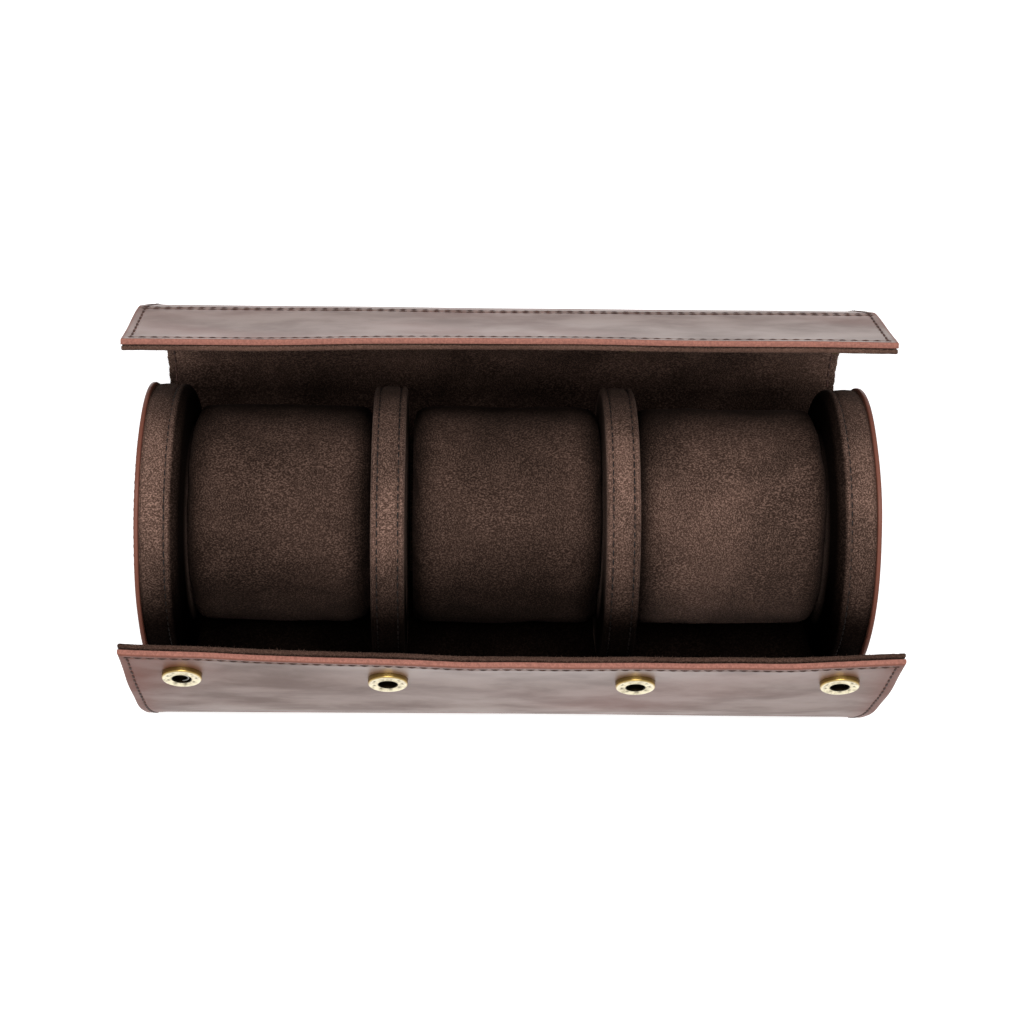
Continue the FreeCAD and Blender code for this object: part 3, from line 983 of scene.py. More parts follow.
class SeatTree(SeamTree):
    """Copies of one metal piece on its seats."""

    name = "Seats"

    def place(self) -> Socket:
        """Set the piece on each point."""
        self.keys["Piece"] = add_socket(self.tree, "Piece", "Object").identifier
        shape = self.graph.add("GeometryNodeObjectInfo", {"Object": self.given.outputs["Piece"]})
        turn = self.facing(self.attribute(NORMAL), self.attribute(TANGENT))
        return self.graph.add("GeometryNodeInstanceOnPoints", {
            "Points": self.given.outputs["Lines"], "Instance": shape.outputs["Geometry"],
            "Rotation": turn}).outputs[0]


class Seams:
    """The seam trees, each built once."""

    def __init__(self) -> None:
        """Build the trees."""
        self.stitches = StitchTree()
        self.fuzz = FuzzTree()
        self.seats = SeatTree()


def line_mesh(name: str, lines: Iterable[Pair]) -> Mesh:
    """Edges with a seat normal at each point.

    Args:
        name: The mesh's name.
        lines: Points in millimetres and normals of each line.

    Returns:
        The mesh, in metres.
    """
    points, normals, edges = [], [], []
    for places, facing in lines:
        start, count = len(points), len(places)
        points += (np.asarray(places) * MM).tolist()
        normals += np.asarray(facing).tolist()
        edges += [(start + i, start + i + 1) for i in range(count - 1)]
    mesh = bpy.data.meshes.new(name)
    mesh.from_pydata(points, edges, [])
    layer = mesh.attributes.new(NORMAL, "FLOAT_VECTOR", "POINT")
    layer.data.foreach_set("vector", np.asarray(normals, np.float32).ravel())
    return mesh


def join(mesh: Mesh, other: Mesh) -> None:
    """Add another mesh to a mesh and remove it.

    Args:
        mesh: The mesh that grows.
        other: The mesh that goes into it.
    """
    shell = bmesh.new()
    shell.from_mesh(mesh)
    shell.from_mesh(other)
    bpy.data.meshes.remove(other)
    shell.to_mesh(mesh)
    shell.free()


# The wrap

class Section:
    """The wrap's side view: one smooth line from the middle of the base to a free edge."""

    step = 0.1
    spare_steps = 20

    def __init__(self, side: Side, knots: Outline, height: float) -> None:
        """Trace the line.

        Args:
            side: The side that it leaves the base on.
            knots: Places along the line and its heading there, in degrees.
            height: The line's height at the base.
        """
        self.side = side.value
        self.length = knots[-1][0]
        self.along = np.arange(0.0, self.length + self.spare_steps * self.step, self.step)
        places, headings = zip(*knots)
        self.heading = np.radians(np.interp(self.along, places, headings))
        between = (self.heading[1:] + self.heading[:-1]) / 2
        self.y = np.concatenate([[0.0], np.cumsum(np.cos(between))]) * self.step
        self.z = np.concatenate([[0.0], np.cumsum(np.sin(between))]) * self.step + height

    def inward(self, along: Array) -> Array:
        """Directions from the line towards the inside of the roll."""
        heading = np.interp(along, self.along, self.heading)
        return np.stack([np.zeros_like(heading), -self.side * np.sin(heading), np.cos(heading)], -1)

    def point(self, x: Array, along: Array, depth: Array) -> Array:
        """Points at places on the line, moved inwards by a depth.

        Args:
            x: Places along the roll.
            along: Places along the line.
            depth: How far inside the line they lie.

        Returns:
            The points.
        """
        y = self.side * np.interp(along, self.along, self.y)
        z = np.interp(along, self.along, self.z)
        return np.stack([x, y, z], -1) + self.inward(along) * np.asarray(depth)[..., None]


@dataclass(frozen=True)
class Fold:
    """A fold line of a flap, and how far the bend spreads to each side of it."""

    parent: str
    child: str
    along: float
    before: float
    after: float


@dataclass(frozen=True)
class FlapCut:
    """The sizes of one flap, from the middle of the base to its free edge."""

    side: Side
    bodies: tuple[str, ...]
    base: float
    flat: float
    radius: float
    turn: float
    rise: float
    strips: tuple[float, ...]
    leans: tuple[float, ...]
    creases: tuple[float, ...]
    last_spread: float

    @property
    def bend(self) -> float:
        """The length of the round bend."""
        return self.radius * math.radians(self.turn)

    def places(self) -> list[float]:
        """Where the folds and, at last, the free edge lie along the flap."""
        walls = self.flat + self.bend + self.rise + np.cumsum((0.0, *self.strips))
        return [self.base, self.flat + self.bend / 2, *walls.tolist()]

    def section(self, height: float) -> Section:
        """The flap's side view at rest, with each fold eased into a bend.

        Args:
            height: The line's height at the base.

        Returns:
            The section.
        """
        places, heading = self.places(), self.turn
        knots = [(0.0, 0.0), (self.flat, 0.0), (self.flat + self.bend, heading)]
        for place, lean, crease in zip(places[2:], self.leans, self.creases):
            knots += [(place - crease, heading), (place + crease, heading + lean)]
            heading += lean
        return Section(self.side, knots + [(places[-1], heading)], height)


FRONT_CUT = FlapCut(
    side=Side.FRONT,
    bodies=("base", "front_sole", "front_heel", "front_lower_wall", "front_upper_wall", "front_snap_strip"),
    base=18.2, flat=42.4, radius=16.5, turn=73.0, rise=12.8,
    strips=(18.2, 29.5, 30.0), leans=(5.0, 9.8, 3.5), creases=(6.0, 8.0, 8.0), last_spread=6.0)
REAR_CUT = FlapCut(
    side=Side.REAR,
    bodies=("base", "rear_sole", "rear_heel", "rear_lower_wall", "rear_upper_wall", "closure_band"),
    base=26.5, flat=58.4, radius=26.5, turn=86.5, rise=20.6,
    strips=(23.2, 34.0, 42.0), leans=(26.7, 5.4, 12.3), creases=(11.0, 8.0, 3.0), last_spread=10.5)


@dataclass
class Flap:
    """One flap of the wrap, from the middle of the base to its free edge."""

    side: Side
    section: Section
    folds: list[Fold]
    sewn_rows: tuple[float, ...] = ()
    padding: Span | None = None
    rounding: float = 0.4
    margins: Span = (1.6, 0.8)
    raw: Span = (0.22, 0.05)
    # Painted shade on the lining by the place along the flap: near black deep inside, none where light falls
    # just under the band's free edge, and part of it out to the free edge
    lining_painted_shade: tuple[Span, ...] = ((76.0, 0.82), (82.0, 0.55), (89.0, 0.0), (130.0, 0.4))

    def spans(self) -> list[Span]:
        """The stretch of sheet that bends at each fold.

        Returns:
            The two ends of each stretch.
        """
        places = [fold.along for fold in self.folds]
        middles = [(a + b) / 2 for a, b in zip(places, places[1:])]
        ends = [0.0] + middles + [self.section.length]
        return list(zip(ends, ends[1:]))


# First seeds of the wrap's loose fibres and stitches
FUZZ_SEED = 11
STITCH_SEED = 31

# Waves of the two flaps' sheets, along the roll
FRONT_WAVES = (Wave(0.16, 61.0, 0.4), Wave(0.10, 37.0, 1.9))
REAR_WAVES = (Wave(0.16, 190.0, 0.9), Wave(0.10, 74.0, 2.6))


@dataclass
class Wrap:
    """The leather sheet, its suede lining and the seams that hold them together."""

    finishes: Finishes
    seams: Seams
    length: float = 260.0
    leather: float = 1.8
    lining: float = 1.8
    layer_gap: float = 0.12
    spread: float = 10.5
    stitch_margin: float = 2.8
    crest_rows: Span = (0.3, 2.7)
    stitch_pitch: float = 3.9
    groove: float = 0.30
    groove_width: float = 0.55
    groove_rows: tuple[float, ...] = (-1.2, -0.6, 0.0, 0.6, 1.2)
    lip: float = 0.35
    lip_width: float = 7.0
    lining_rounding: float = 0.75
    pad_ease: float = 6.0
    pad_rise: float = 0.1
    parting: float = 0.25
    parting_width: float = 1.6
    stray_width: float = 2.2
    raw_edge: float = 0.4
    raw_fade: float = 2.4
    fibre_root: float = 0.65
    fibre_lean: float = 0.5
    front_lean: float = 1.15
    sway_share: float = 0.55
    lobe_pitch: float = 84.0
    board_margin: float = 4.5
    board_depths: Span = (-0.6, -0.15)
    board_columns: int = 61
    board_rows: int = 13
    row_step: float = 1.5
    least_step: float = 0.05
    column_step: float = 3.0
    snap_from_end: float = 19.6
    snap_pitch: float = 68.9
    border: tuple[float, ...] = (0.0, 0.08, 0.22, 0.45, 0.8, 1.4, 2.0, 2.4, 2.8, 3.2, 3.7, 4.6, 6.2, 8.4)
    pieces: list[Piece] = field(default_factory=list)

    def front_flap(self) -> Flap:
        """The front flap's section and folds."""
        return Flap(Side.FRONT, FRONT_CUT.section(self.leather), self.folds_of(FRONT_CUT), rounding=0.8,
                    margins=(11.0, 4.0), raw=(0.1, 0.4), lining_painted_shade=((128.0, 0.97), (148.0, 0.62)))

    def rear_flap(self) -> Flap:
        """The rear flap's section, folds and padded closure band.

        Returns:
            The flap.
        """
        folds = self.folds_of(REAR_CUT)
        band = folds[-1].along
        rows = tuple(band + place for place in self.crest_rows)
        padding = (band + self.stitch_margin, self.pad_rise)
        return Flap(Side.REAR, REAR_CUT.section(self.leather), folds, rows, padding)

    def folds_of(self, cut: FlapCut) -> list[Fold]:
        """The folds of a flap, each spread no further than half its strips.

        Args:
            cut: The flap's sizes.

        Returns:
            The folds, from the base out.
        """
        *places, end = cut.places()
        edges = [0.0, *places, end]
        folds = []
        for number, place in enumerate(places):
            before = min((place - edges[number]) / 2 - 0.5, self.spread)
            after = min((edges[number + 2] - place) / 2 - 0.5, self.spread)
            folds.append(Fold(cut.bodies[number], cut.bodies[number + 1], place, before, after))
        folds[-1] = replace(folds[-1], after=cut.last_spread)
        return folds

    def columns(self) -> Array:
        """Places along the roll, closer together at the side edges.

        Returns:
            The places, from left to right.
        """
        half = self.length / 2
        inner = half - self.border[-1]
        middle = np.linspace(-inner, inner, round(2 * inner / self.column_step) + 1)
        edge = half - np.array(self.border[:-1])
        return np.concatenate([-edge, middle, edge[::-1]])

    def rows(self, flap: Flap, span: Span) -> Array:
        """Places along the flap in one span, closer together at seams and at the free edge.

        Args:
            flap: The flap.
            span: The stretch along the flap.

        Returns:
            The places, from the base out.
        """
        start, end = span
        free = end == flap.section.length
        last = end - self.border[-1] if free else end
        places = list(np.linspace(start, last, max(2, math.ceil((last - start) / self.row_step)) + 1))
        if free:
            places += [end - b for b in self.border[:-1]]
        for row in flap.sewn_rows:
            if start < row < end:
                places += [row + step * self.groove_width for step in self.groove_rows]
        places = np.sort(np.array(places))
        keep = np.concatenate([[True], np.diff(places) > self.least_step])
        return places[keep]

    def edge_distance(self, flap: Flap, x: Array, along: Array) -> Array:
        """Distance to the nearest cut edge."""
        return np.minimum(self.length / 2 - np.abs(x), flap.section.length - along)

    def snap_places(self) -> tuple[float, ...]:
        """Where the snaps lie along the roll.

        Returns:
            Four places, from left to right.
        """
        outer = self.length / 2 - self.snap_from_end
        inner = outer - self.snap_pitch
        return (-outer, -inner, inner, outer)

    def sway(self, flap: Flap, x: Array, along: Array) -> Array:
        """How far the sheet strays inwards from its smooth section.

        Args:
            flap: The flap.
            x: Places along the roll.
            along: Places along the flap.

        Returns:
            The sway in millimetres.
        """
        free = flap.section.length - along
        share = smoothstep(1 - free / (self.sway_share * flap.section.length))
        if flap.side is Side.FRONT:
            return self.front_sway(x, free, share)
        reach = np.clip(1 - free / (flap.section.length - flap.folds[-1].along), 0.0, 1.0)
        droop = 1.1 * rise(-x, start=10.0, over=80.0) - 0.5 * ridge(x - 5.0, width=55.0)
        swell = 0.15 * np.sin(math.pi * reach)
        return share * ripple(x, REAR_WAVES) + smoothstep(reach) * droop + swell

    def front_sway(self, x: Array, free: Array, share: Array) -> Array:
        """The front flap's sway: out between the snaps, and flared along its free edge.

        Args:
            x: Places along the roll.
            free: Their distance from the free edge.
            share: How far the sheet can stray there.

        Returns:
            The sway in millimetres.
        """
        places = self.snap_places()
        lobe = np.zeros_like(x)
        for low, high in zip(places, places[1:]):
            arch = np.sin(math.pi * (x - low) / (high - low)) ** 2 * (high - low) / self.lobe_pitch
            lobe = np.where((x > low) & (x < high), arch, lobe)
        outer = np.clip((np.abs(x) - places[-1]) / (self.length / 2 - places[-1]), 0.0, 1.0)
        skew = 0.35 + 1.7 * x / self.length + 0.85 * np.cos(math.pi * x / self.length) ** 2
        flare = 1.3 * mixed(1.0, 0.6, smoothstep(free / 16.0))
        skew = skew + flare * rise(x, start=-110.0, over=90.0) * rise(-x, start=-130.0, over=40.0)
        belly = 0.3 * ridge(free - 30.0, width=14.0)
        heel = 0.5 * rise(-x, start=-110.0, over=110.0) * ridge(free - 85.0, width=28.0)
        bulge = ripple(x, FRONT_WAVES) * lobe - 0.4 * lobe + 0.4 * outer ** 2
        return share * (bulge - skew) - belly + heel

    def rubbed(self, flap: Flap, x: Array, along: Array) -> Array:
        """How far the leather is rubbed to a shine: most at the free edges, least at the ends.

        Args:
            flap: The flap.
            x: Places along the roll.
            along: Places along the flap.

        Returns:
            A share from 0 to 1.
        """
        free = flap.section.length - along
        if flap.side is Side.REAR:
            band = flap.section.length - flap.folds[-1].along
            return mixed(0.18, 0.95, smoothstep(1 - free / band))
        left = mixed(0.40, 1.0, rise(x, start=-85.0, over=70.0))
        right = mixed(1.0, 0.65, rise(x, start=30.0, over=60.0))
        ends = mixed(0.25, 1.0, rise(-np.abs(x), start=-127.0, over=32.0))
        return left * right * ends * mixed(0.12, 1.0, ridge(free - 4.0, width=24.0))

    def place(self, flap: Flap, x: Array, along: Array, depth: Array) -> Array:
        """Points of a flap; the front one leans a little to the right."""
        lean = self.front_lean if flap.side is Side.FRONT else 0.0
        return flap.section.point(x + lean * smoothstep(along / flap.section.length), along, depth)

    def strayed(self, flap: Flap, layer: Layer, x: Array, along: Array) -> Pair:
        """Places after the cut edges' own unevenness.

        Args:
            flap: The flap.
            layer: The sheet.
            x: Places along the roll.
            along: Places along the flap.

        Returns:
            The moved x and the moved places along the flap.
        """
        half, length = self.length / 2, flap.section.length
        rough = layer is Layer.LINING
        side_waves = [Wave(0.12, 97.0, 0.3 + rough), Wave(0.06, 31.0, 1.2)]
        free_waves = [Wave(0.16, 118.0, 2.2 + rough), Wave(0.07, 41.0, 0.7)]
        if rough:
            side_waves += [Wave(0.13, 7.3, 0.2), Wave(0.10, 3.1, 1.0)]
            free_waves += [Wave(0.14, 8.1, 0.5), Wave(0.11, 3.4, 2.0)]
        side_share = smoothstep(1 - (half - np.abs(x)) / self.stray_width)
        free_share = smoothstep(1 - (length - along) / self.stray_width)
        x = x + np.sign(x) * side_share * ripple(along, side_waves)
        along = along + free_share * ripple(x, free_waves)
        return x, along

    def faces_of(self, flap: Flap, layer: Layer, x: Array, along: Array) -> Pair:
        """Depths of a sheet's two sides.

        Args:
            flap: The flap.
            layer: The sheet.
            x: Places along the roll.
            along: Places along the flap.

        Returns:
            The depth of the outer and of the inner side.
        """
        distance = self.edge_distance(flap, x, along)
        radius = flap.rounding if layer is Layer.LEATHER else self.lining_rounding
        near = np.clip(radius - distance, 0.0, radius)
        worn = radius - np.sqrt(np.maximum(radius ** 2 - near ** 2, 0.0))
        sunk = self.groove * ridge(distance - self.stitch_margin, self.groove_width)
        for row in flap.sewn_rows:
            sunk = np.maximum(sunk, self.groove * ridge(along - row, self.groove_width))
        swell = 0.0
        if flap.padding:
            start, height = flap.padding
            swell = height * rise(along, start, self.pad_ease)
            swell = swell * rise(distance, self.stitch_margin, self.pad_ease)
        sway = self.sway(flap, x, along)
        if layer is Layer.LEATHER:
            lip = self.lip * (1 - smoothstep(distance / self.lip_width))
            return -self.leather - lip + worn + sunk - swell + sway, -self.layer_gap - 0.3 * worn + sway
        parted = self.parting * ridge(distance, self.parting_width)
        return self.layer_gap + parted + 0.5 * worn + sway, self.lining + parted - worn - 0.8 * sunk + sway

    def sheet(self, flap: Flap, layer: Layer, span: Span, name: str) -> Mesh:
        """One stretch of a sheet as a closed slab with a flat map.

        Args:
            flap: The flap.
            layer: The sheet.
            span: The stretch along the flap.
            name: The mesh's name.

        Returns:
            The mesh.
        """
        x, along = np.meshgrid(self.columns(), self.rows(flap, span))
        outer, inner = self.faces_of(flap, layer, x, along)
        side, free = self.length / 2 - np.abs(x), flap.section.length - along
        cut = 1 - np.clip(np.minimum(side, free) / self.raw_edge, 0, 1)
        if layer is Layer.LEATHER:
            for raw, distance in zip(flap.raw, (side, free)):
                cut = np.maximum(cut, raw * (1 - rise(distance, self.raw_edge, self.raw_fade)))
        margin = 1 - np.minimum(smoothstep(side / flap.margins[0]), smoothstep(free / flap.margins[1]))
        moved_x, moved_along = self.strayed(flap, layer, x, along)
        sides = [self.place(flap, moved_x, moved_along, depth) for depth in (outer, inner)]
        points = np.concatenate([side.reshape(-1, 3) for side in sides])
        values = {CUT_AND_HOLLOW_SHADE: np.tile(cut.ravel(), 2), MARGIN: np.tile(margin.ravel(), 2),
                  DEPTH: np.concatenate([outer.ravel(), inner.ravel()]) * MM}
        # The lining's colour gets its painted shade by the place along the flap
        if layer is Layer.LINING:
            values[SHADE] = np.tile(np.interp(along.ravel(), *zip(*flap.lining_painted_shade)), 2)
        else:
            values[RUBBED] = np.tile(self.rubbed(flap, x, along).ravel(), 2)
        mesh = mesh_from(name, points, slab_faces(*x.shape), 50.0, values)
        flat = np.stack([moved_x.ravel(), flap.side.value * moved_along.ravel()], 1)
        flat = np.tile(flat, (2, 1)) * MM
        loops = np.zeros(len(mesh.loops), np.int32)
        mesh.loops.foreach_get("vertex_index", loops)
        mesh.uv_layers.new(name=FLAT_MAP).uv.foreach_set("vector", flat[loops].astype(np.float32).ravel())
        return mesh

    def sew_in(self, flap: Flap, fold: Fold, node: str) -> None:
        """Build the board that is sewn into a strip and sways with its sheets.

        Args:
            flap: The flap.
            fold: The fold that the strip hangs on.
            node: The solid that it stands for.
        """
        half = self.length / 2 - self.board_margin
        ends = fold.along + self.board_margin, flap.section.length - self.board_margin
        columns = np.linspace(-half, half, self.board_columns)
        x, along = np.meshgrid(columns, np.linspace(*ends, self.board_rows))
        sway = self.sway(flap, x, along)
        sides = [self.place(flap, x, along, depth + sway) for depth in self.board_depths]
        points = np.concatenate([side.reshape(-1, 3) for side in sides])
        mesh = mesh_from(node + "_board", points, slab_faces(*x.shape))
        piece = new_object(node + "_board", mesh, self.finishes.stiffener)
        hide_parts(node)
        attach(piece, fold.child)
        self.pieces.append(piece)

    def shown_side(self, flap: Flap, layer: Layer, x: Array, along: Array) -> Pair:
        """The side of a sheet that shows: the leather's outer and the lining's inner one.

        Args:
            flap: The flap.
            layer: The sheet.
            x: Places along the roll.
            along: Places along the flap.

        Returns:
            Its points, and the way that it faces.
        """
        leather = layer is Layer.LEATHER
        depth = self.faces_of(flap, layer, x, along)[not leather]
        facing = flap.section.inward(along) * (-1.0 if leather else 1.0)
        return self.place(flap, x, along, depth), facing

    def seam_lines(self, flap: Flap, layer: Layer, span: Span) -> list[Pair]:
        """The sewn lines of a sheet in one span.

        Args:
            flap: The flap.
            layer: The sheet that shows them.
            span: The stretch along the flap.

        Returns:
            Points and outward normals of each line.
        """
        start, end = span
        half, pitch = self.length / 2 - self.stitch_margin, self.stitch_pitch
        free_row = flap.section.length - self.stitch_margin
        first, last = math.ceil(start / pitch), math.ceil(min(end, free_row) / pitch) - 1
        side_rows = np.arange(first, last + 1) * pitch
        across = np.linspace(-half, half, 2 * round(half / pitch) + 1)
        routes = [(np.full_like(side_rows, x), side_rows) for x in (-half, half) if len(side_rows) > 1]
        rows = [row for row in flap.sewn_rows if start < row < end]
        if end == flap.section.length:
            rows.append(free_row)
        routes += [(across, np.full_like(across, row)) for row in rows]
        return [self.shown_side(flap, layer, x, along) for x, along in routes]

    def fuzz_lines(self, flap: Flap, span: Span) -> list[Pair]:
        """The lining's cut edges in one span, with the way their fibres stand.

        Args:
            flap: The flap.
            span: The stretch along the flap.

        Returns:
            Points of each edge, and the way that its fibres stand.
        """
        start, end = span
        along = np.arange(start, end, 1.0)
        lines = []
        for way in (-1.0, 1.0):
            x, moved = self.strayed(flap, Layer.LINING, np.full_like(along, way * self.length / 2), along)
            outer, inner = self.faces_of(flap, Layer.LINING, x, moved)
            facing = self.fibre_lean * flap.section.inward(moved) + np.array([way, 0.0, 0.0])
            lines.append((self.place(flap, x, moved, mixed(outer, inner, self.fibre_root)), facing))
        if end == flap.section.length:
            x = np.arange(-self.length / 2, self.length / 2, 1.0)
            x, edge = self.strayed(flap, Layer.LINING, x, np.full_like(x, end))
            outer, inner = self.faces_of(flap, Layer.LINING, x, edge)
            root = mixed(outer, inner, self.fibre_root)
            tip = self.place(flap, x, edge, root)
            ahead = self.place(flap, x, edge + 1.0, root) - tip
            lines.append((tip, ahead + self.fibre_lean * flap.section.inward(edge)))
        return lines

    def bend(self, piece: Piece, flap: Flap, fold: Fold) -> None:
        """Bake a piece's place into its mesh and add it to the wrap's pieces; the ends of its fold's bend
        are worked out but not used.

        Args:
            piece: The piece.
            flap: The flap.
            fold: The fold.
        """
        zero = np.zeros(1)
        start = flap.section.point(zero, np.array([fold.along - fold.before]), zero)[0] * MM
        end = flap.section.point(zero, np.array([fold.along + fold.after]), zero)[0] * MM
        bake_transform(piece)
        self.pieces.append(piece)

    def build(self) -> list[Piece]:
        """Build the sheets and seams of both flaps.

        Returns:
            Every piece.
        """
        for flap in (self.front_flap(), self.rear_flap()):
            for number, (fold, span) in enumerate(zip(flap.folds, flap.spans())):
                self.build_span(flap, fold, span, number)
        return self.pieces

    def build_span(self, flap: Flap, fold: Fold, span: Span, number: int) -> None:
        """Build the sheets and seams that bend at one fold.

        Args:
            flap: The flap.
            fold: The fold.
            span: The stretch of the flap.
            number: The fold's number from the base.
        """
        stood_for = [fold.child] + (["base"] if number == 0 and flap.side is Side.FRONT else [])
        finishes = {Layer.LEATHER: self.finishes.leather, Layer.LINING: self.finishes.lining}
        for layer in Layer:
            name = "%s_%s_sheet" % (fold.child, layer.value)
            mesh = self.sheet(flap, layer, span, name)
            if layer is Layer.LINING:
                lines = line_mesh(name + "_edges", self.fuzz_lines(flap, span))
                fuzz = self.seams.fuzz.run(name + "_fuzz", lines, finishes[layer], FUZZ_SEED + number)
                join(mesh, fuzz)
            piece = new_object(name, mesh, finishes[layer])
            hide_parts(*["%s_%s" % (body, layer.value) for body in stood_for])
            self.bend(piece, flap, fold)
        if fold.child in SEWN_IN:
            self.sew_in(flap, fold, SEWN_IN[fold.child])
        name = "%s_stitches" % fold.child
        lines = [line for layer in Layer for line in self.seam_lines(flap, layer, span)]
        rows = line_mesh(name + "_rows", lines)
        mesh = self.seams.stitches.run(name, rows, self.finishes.thread, STITCH_SEED + number)
        piece = new_object(name, mesh, self.finishes.thread)
        self.bend(piece, flap, fold)


# Padded discs

@dataclass
class PaddedDisc:
    """A round padded piece of suede that stands on the lining, turned about the X axis."""

    finishes: Finishes
    seams: Seams
    name: str
    centre_x: float
    radius: float
    floor: float = 3.6
    seat_depth: float = 1.0
    segments: int = 224
    seam_pitch: float = 3.1
    # Painted shade: the share of colour left at the front and at the rear, with where each eases off, and
    # the rim inside which flat faces get the inside painted shade
    front_painted_shade: Span = (0.05, 66.0)
    rear_painted_shade: Span = (0.3, 95.0)
    rim_depth: float = 27.0
    rim_ease: float = 12.0

    @property
    def height(self) -> float:
        """The height of the disc's centre."""
        return self.floor + self.radius - self.seat_depth

    def set_down(self, points: Array) -> Array:
        """Lift turned points to the disc's place and flatten them on the lining.

        Args:
            points: Points about the X axis.

        Returns:
            The points in their place.
        """
        moved = points + np.array([self.centre_x, 0.0, self.height])
        moved[:, 2] = np.maximum(moved[:, 2], self.floor + 0.03)
        return moved

    def ring(self, x: float, radius: float, facing: Span, step: float = 1.0) -> Pair:
        """A line round the disc, clear of its seat.

        Args:
            x: The line's place across the disc.
            radius: Its radius.
            facing: The seat normal's share along X and outwards.
            step: The spacing of its points.

        Returns:
            Points and normals.
        """
        opening = math.acos(min(1.0, (self.radius - self.seat_depth - 0.6) / radius))
        count = max(8, int(radius * 2 * (math.pi - opening) / step))
        angle = np.linspace(opening, 2 * math.pi - opening, count) - math.pi / 2
        outward = np.stack([np.zeros(count), np.cos(angle), np.sin(angle)], 1)
        points = outward * radius + np.array([self.centre_x + x, 0.0, self.height])
        return points, outward * facing[1] + np.array([facing[0], 0.0, 0.0])

    def pad(self, profile: Outline, seed: float, dents: float) -> Mesh:
        """The padded suede body.

        Args:
            profile: Its half outline (x, radius).
            seed: Where in the noise its dents lie.
            dents: How deep they are.

        Returns:
            The mesh.
        """
        points, faces = lathe(profile, self.segments)
        points = roughened(points, (0.0, 0.0, 0.0), dents, 17.0, seed)
        points = roughened(points, (0.0, 0.0, 0.0), dents * 0.35, 4.0, seed + 9.0)
        return mesh_from(self.name + "_pad", self.set_down(points), faces, 75.0)

    def exposed(self, local: Array) -> Array:
        """Share of colour left under painted shade, by how open to the light each point lies: the rim is
        open, the faces are not.
        """
        reach = np.linalg.norm(local[:, 1:], axis=1)
        return mixed(0.25, 1.0, rise(reach, start=self.radius - 4.0, over=3.0))

    def sew(self, seam_rings: Sequence[Pair], seed: int, **sizes: float) -> None:
        """Sew along rings of the disc.

        Args:
            seam_rings: Points and normals of each ring.
            seed: The seed of the stitches' unevenness.
            sizes: Stitch sizes where they differ.
        """
        name = self.name + "_stitches"
        thread = self.finishes.dark_thread
        rows = line_mesh(name + "_rows", seam_rings)
        mesh = self.seams.stitches.run(name, rows, thread, seed, Pitch=self.seam_pitch, **sizes)
        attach(new_object(name, mesh, thread), "base")

    def finish(self, mesh: Mesh, fuzz_rings: Sequence[Pair], seed: int, nodes: Sequence[str]) -> Piece:
        """Dress the padded body, and store its painted shade.

        Args:
            mesh: The body.
            fuzz_rings: Seams that loose fibres stand out of.
            seed: The seed of the fibres.
            nodes: The solids that it stands for.

        Returns:
            The piece.
        """
        lines = line_mesh(self.name + "_seams", fuzz_rings)
        join(mesh, self.seams.fuzz.run(self.name + "_fuzz", lines, self.finishes.suede, seed,
                                       Spacing=0.26, Length=0.5, Scatter=0.35))
        local = points_of(mesh) / MM - np.array([self.centre_x, 0.0, self.height])
        # Painted shade by the way each point faces and how open to the light it lies, with flat faces deep
        # inside darkened
        way = np.degrees(np.arctan2(local[:, 2], -local[:, 1]))
        kept = unshaded_share(way, self.front_painted_shade, self.rear_painted_shade) * self.exposed(local)
        rim = rise(np.linalg.norm(local[:, 1:], axis=1), self.radius - self.rim_depth, self.rim_ease)
        add_values(mesh, SHADE, 1 - mixed(INSIDE_KEPT, kept, rim))
        piece = new_object(self.name + "_pad", mesh, self.finishes.suede)
        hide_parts(*nodes)
        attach(piece, "base")
        return piece


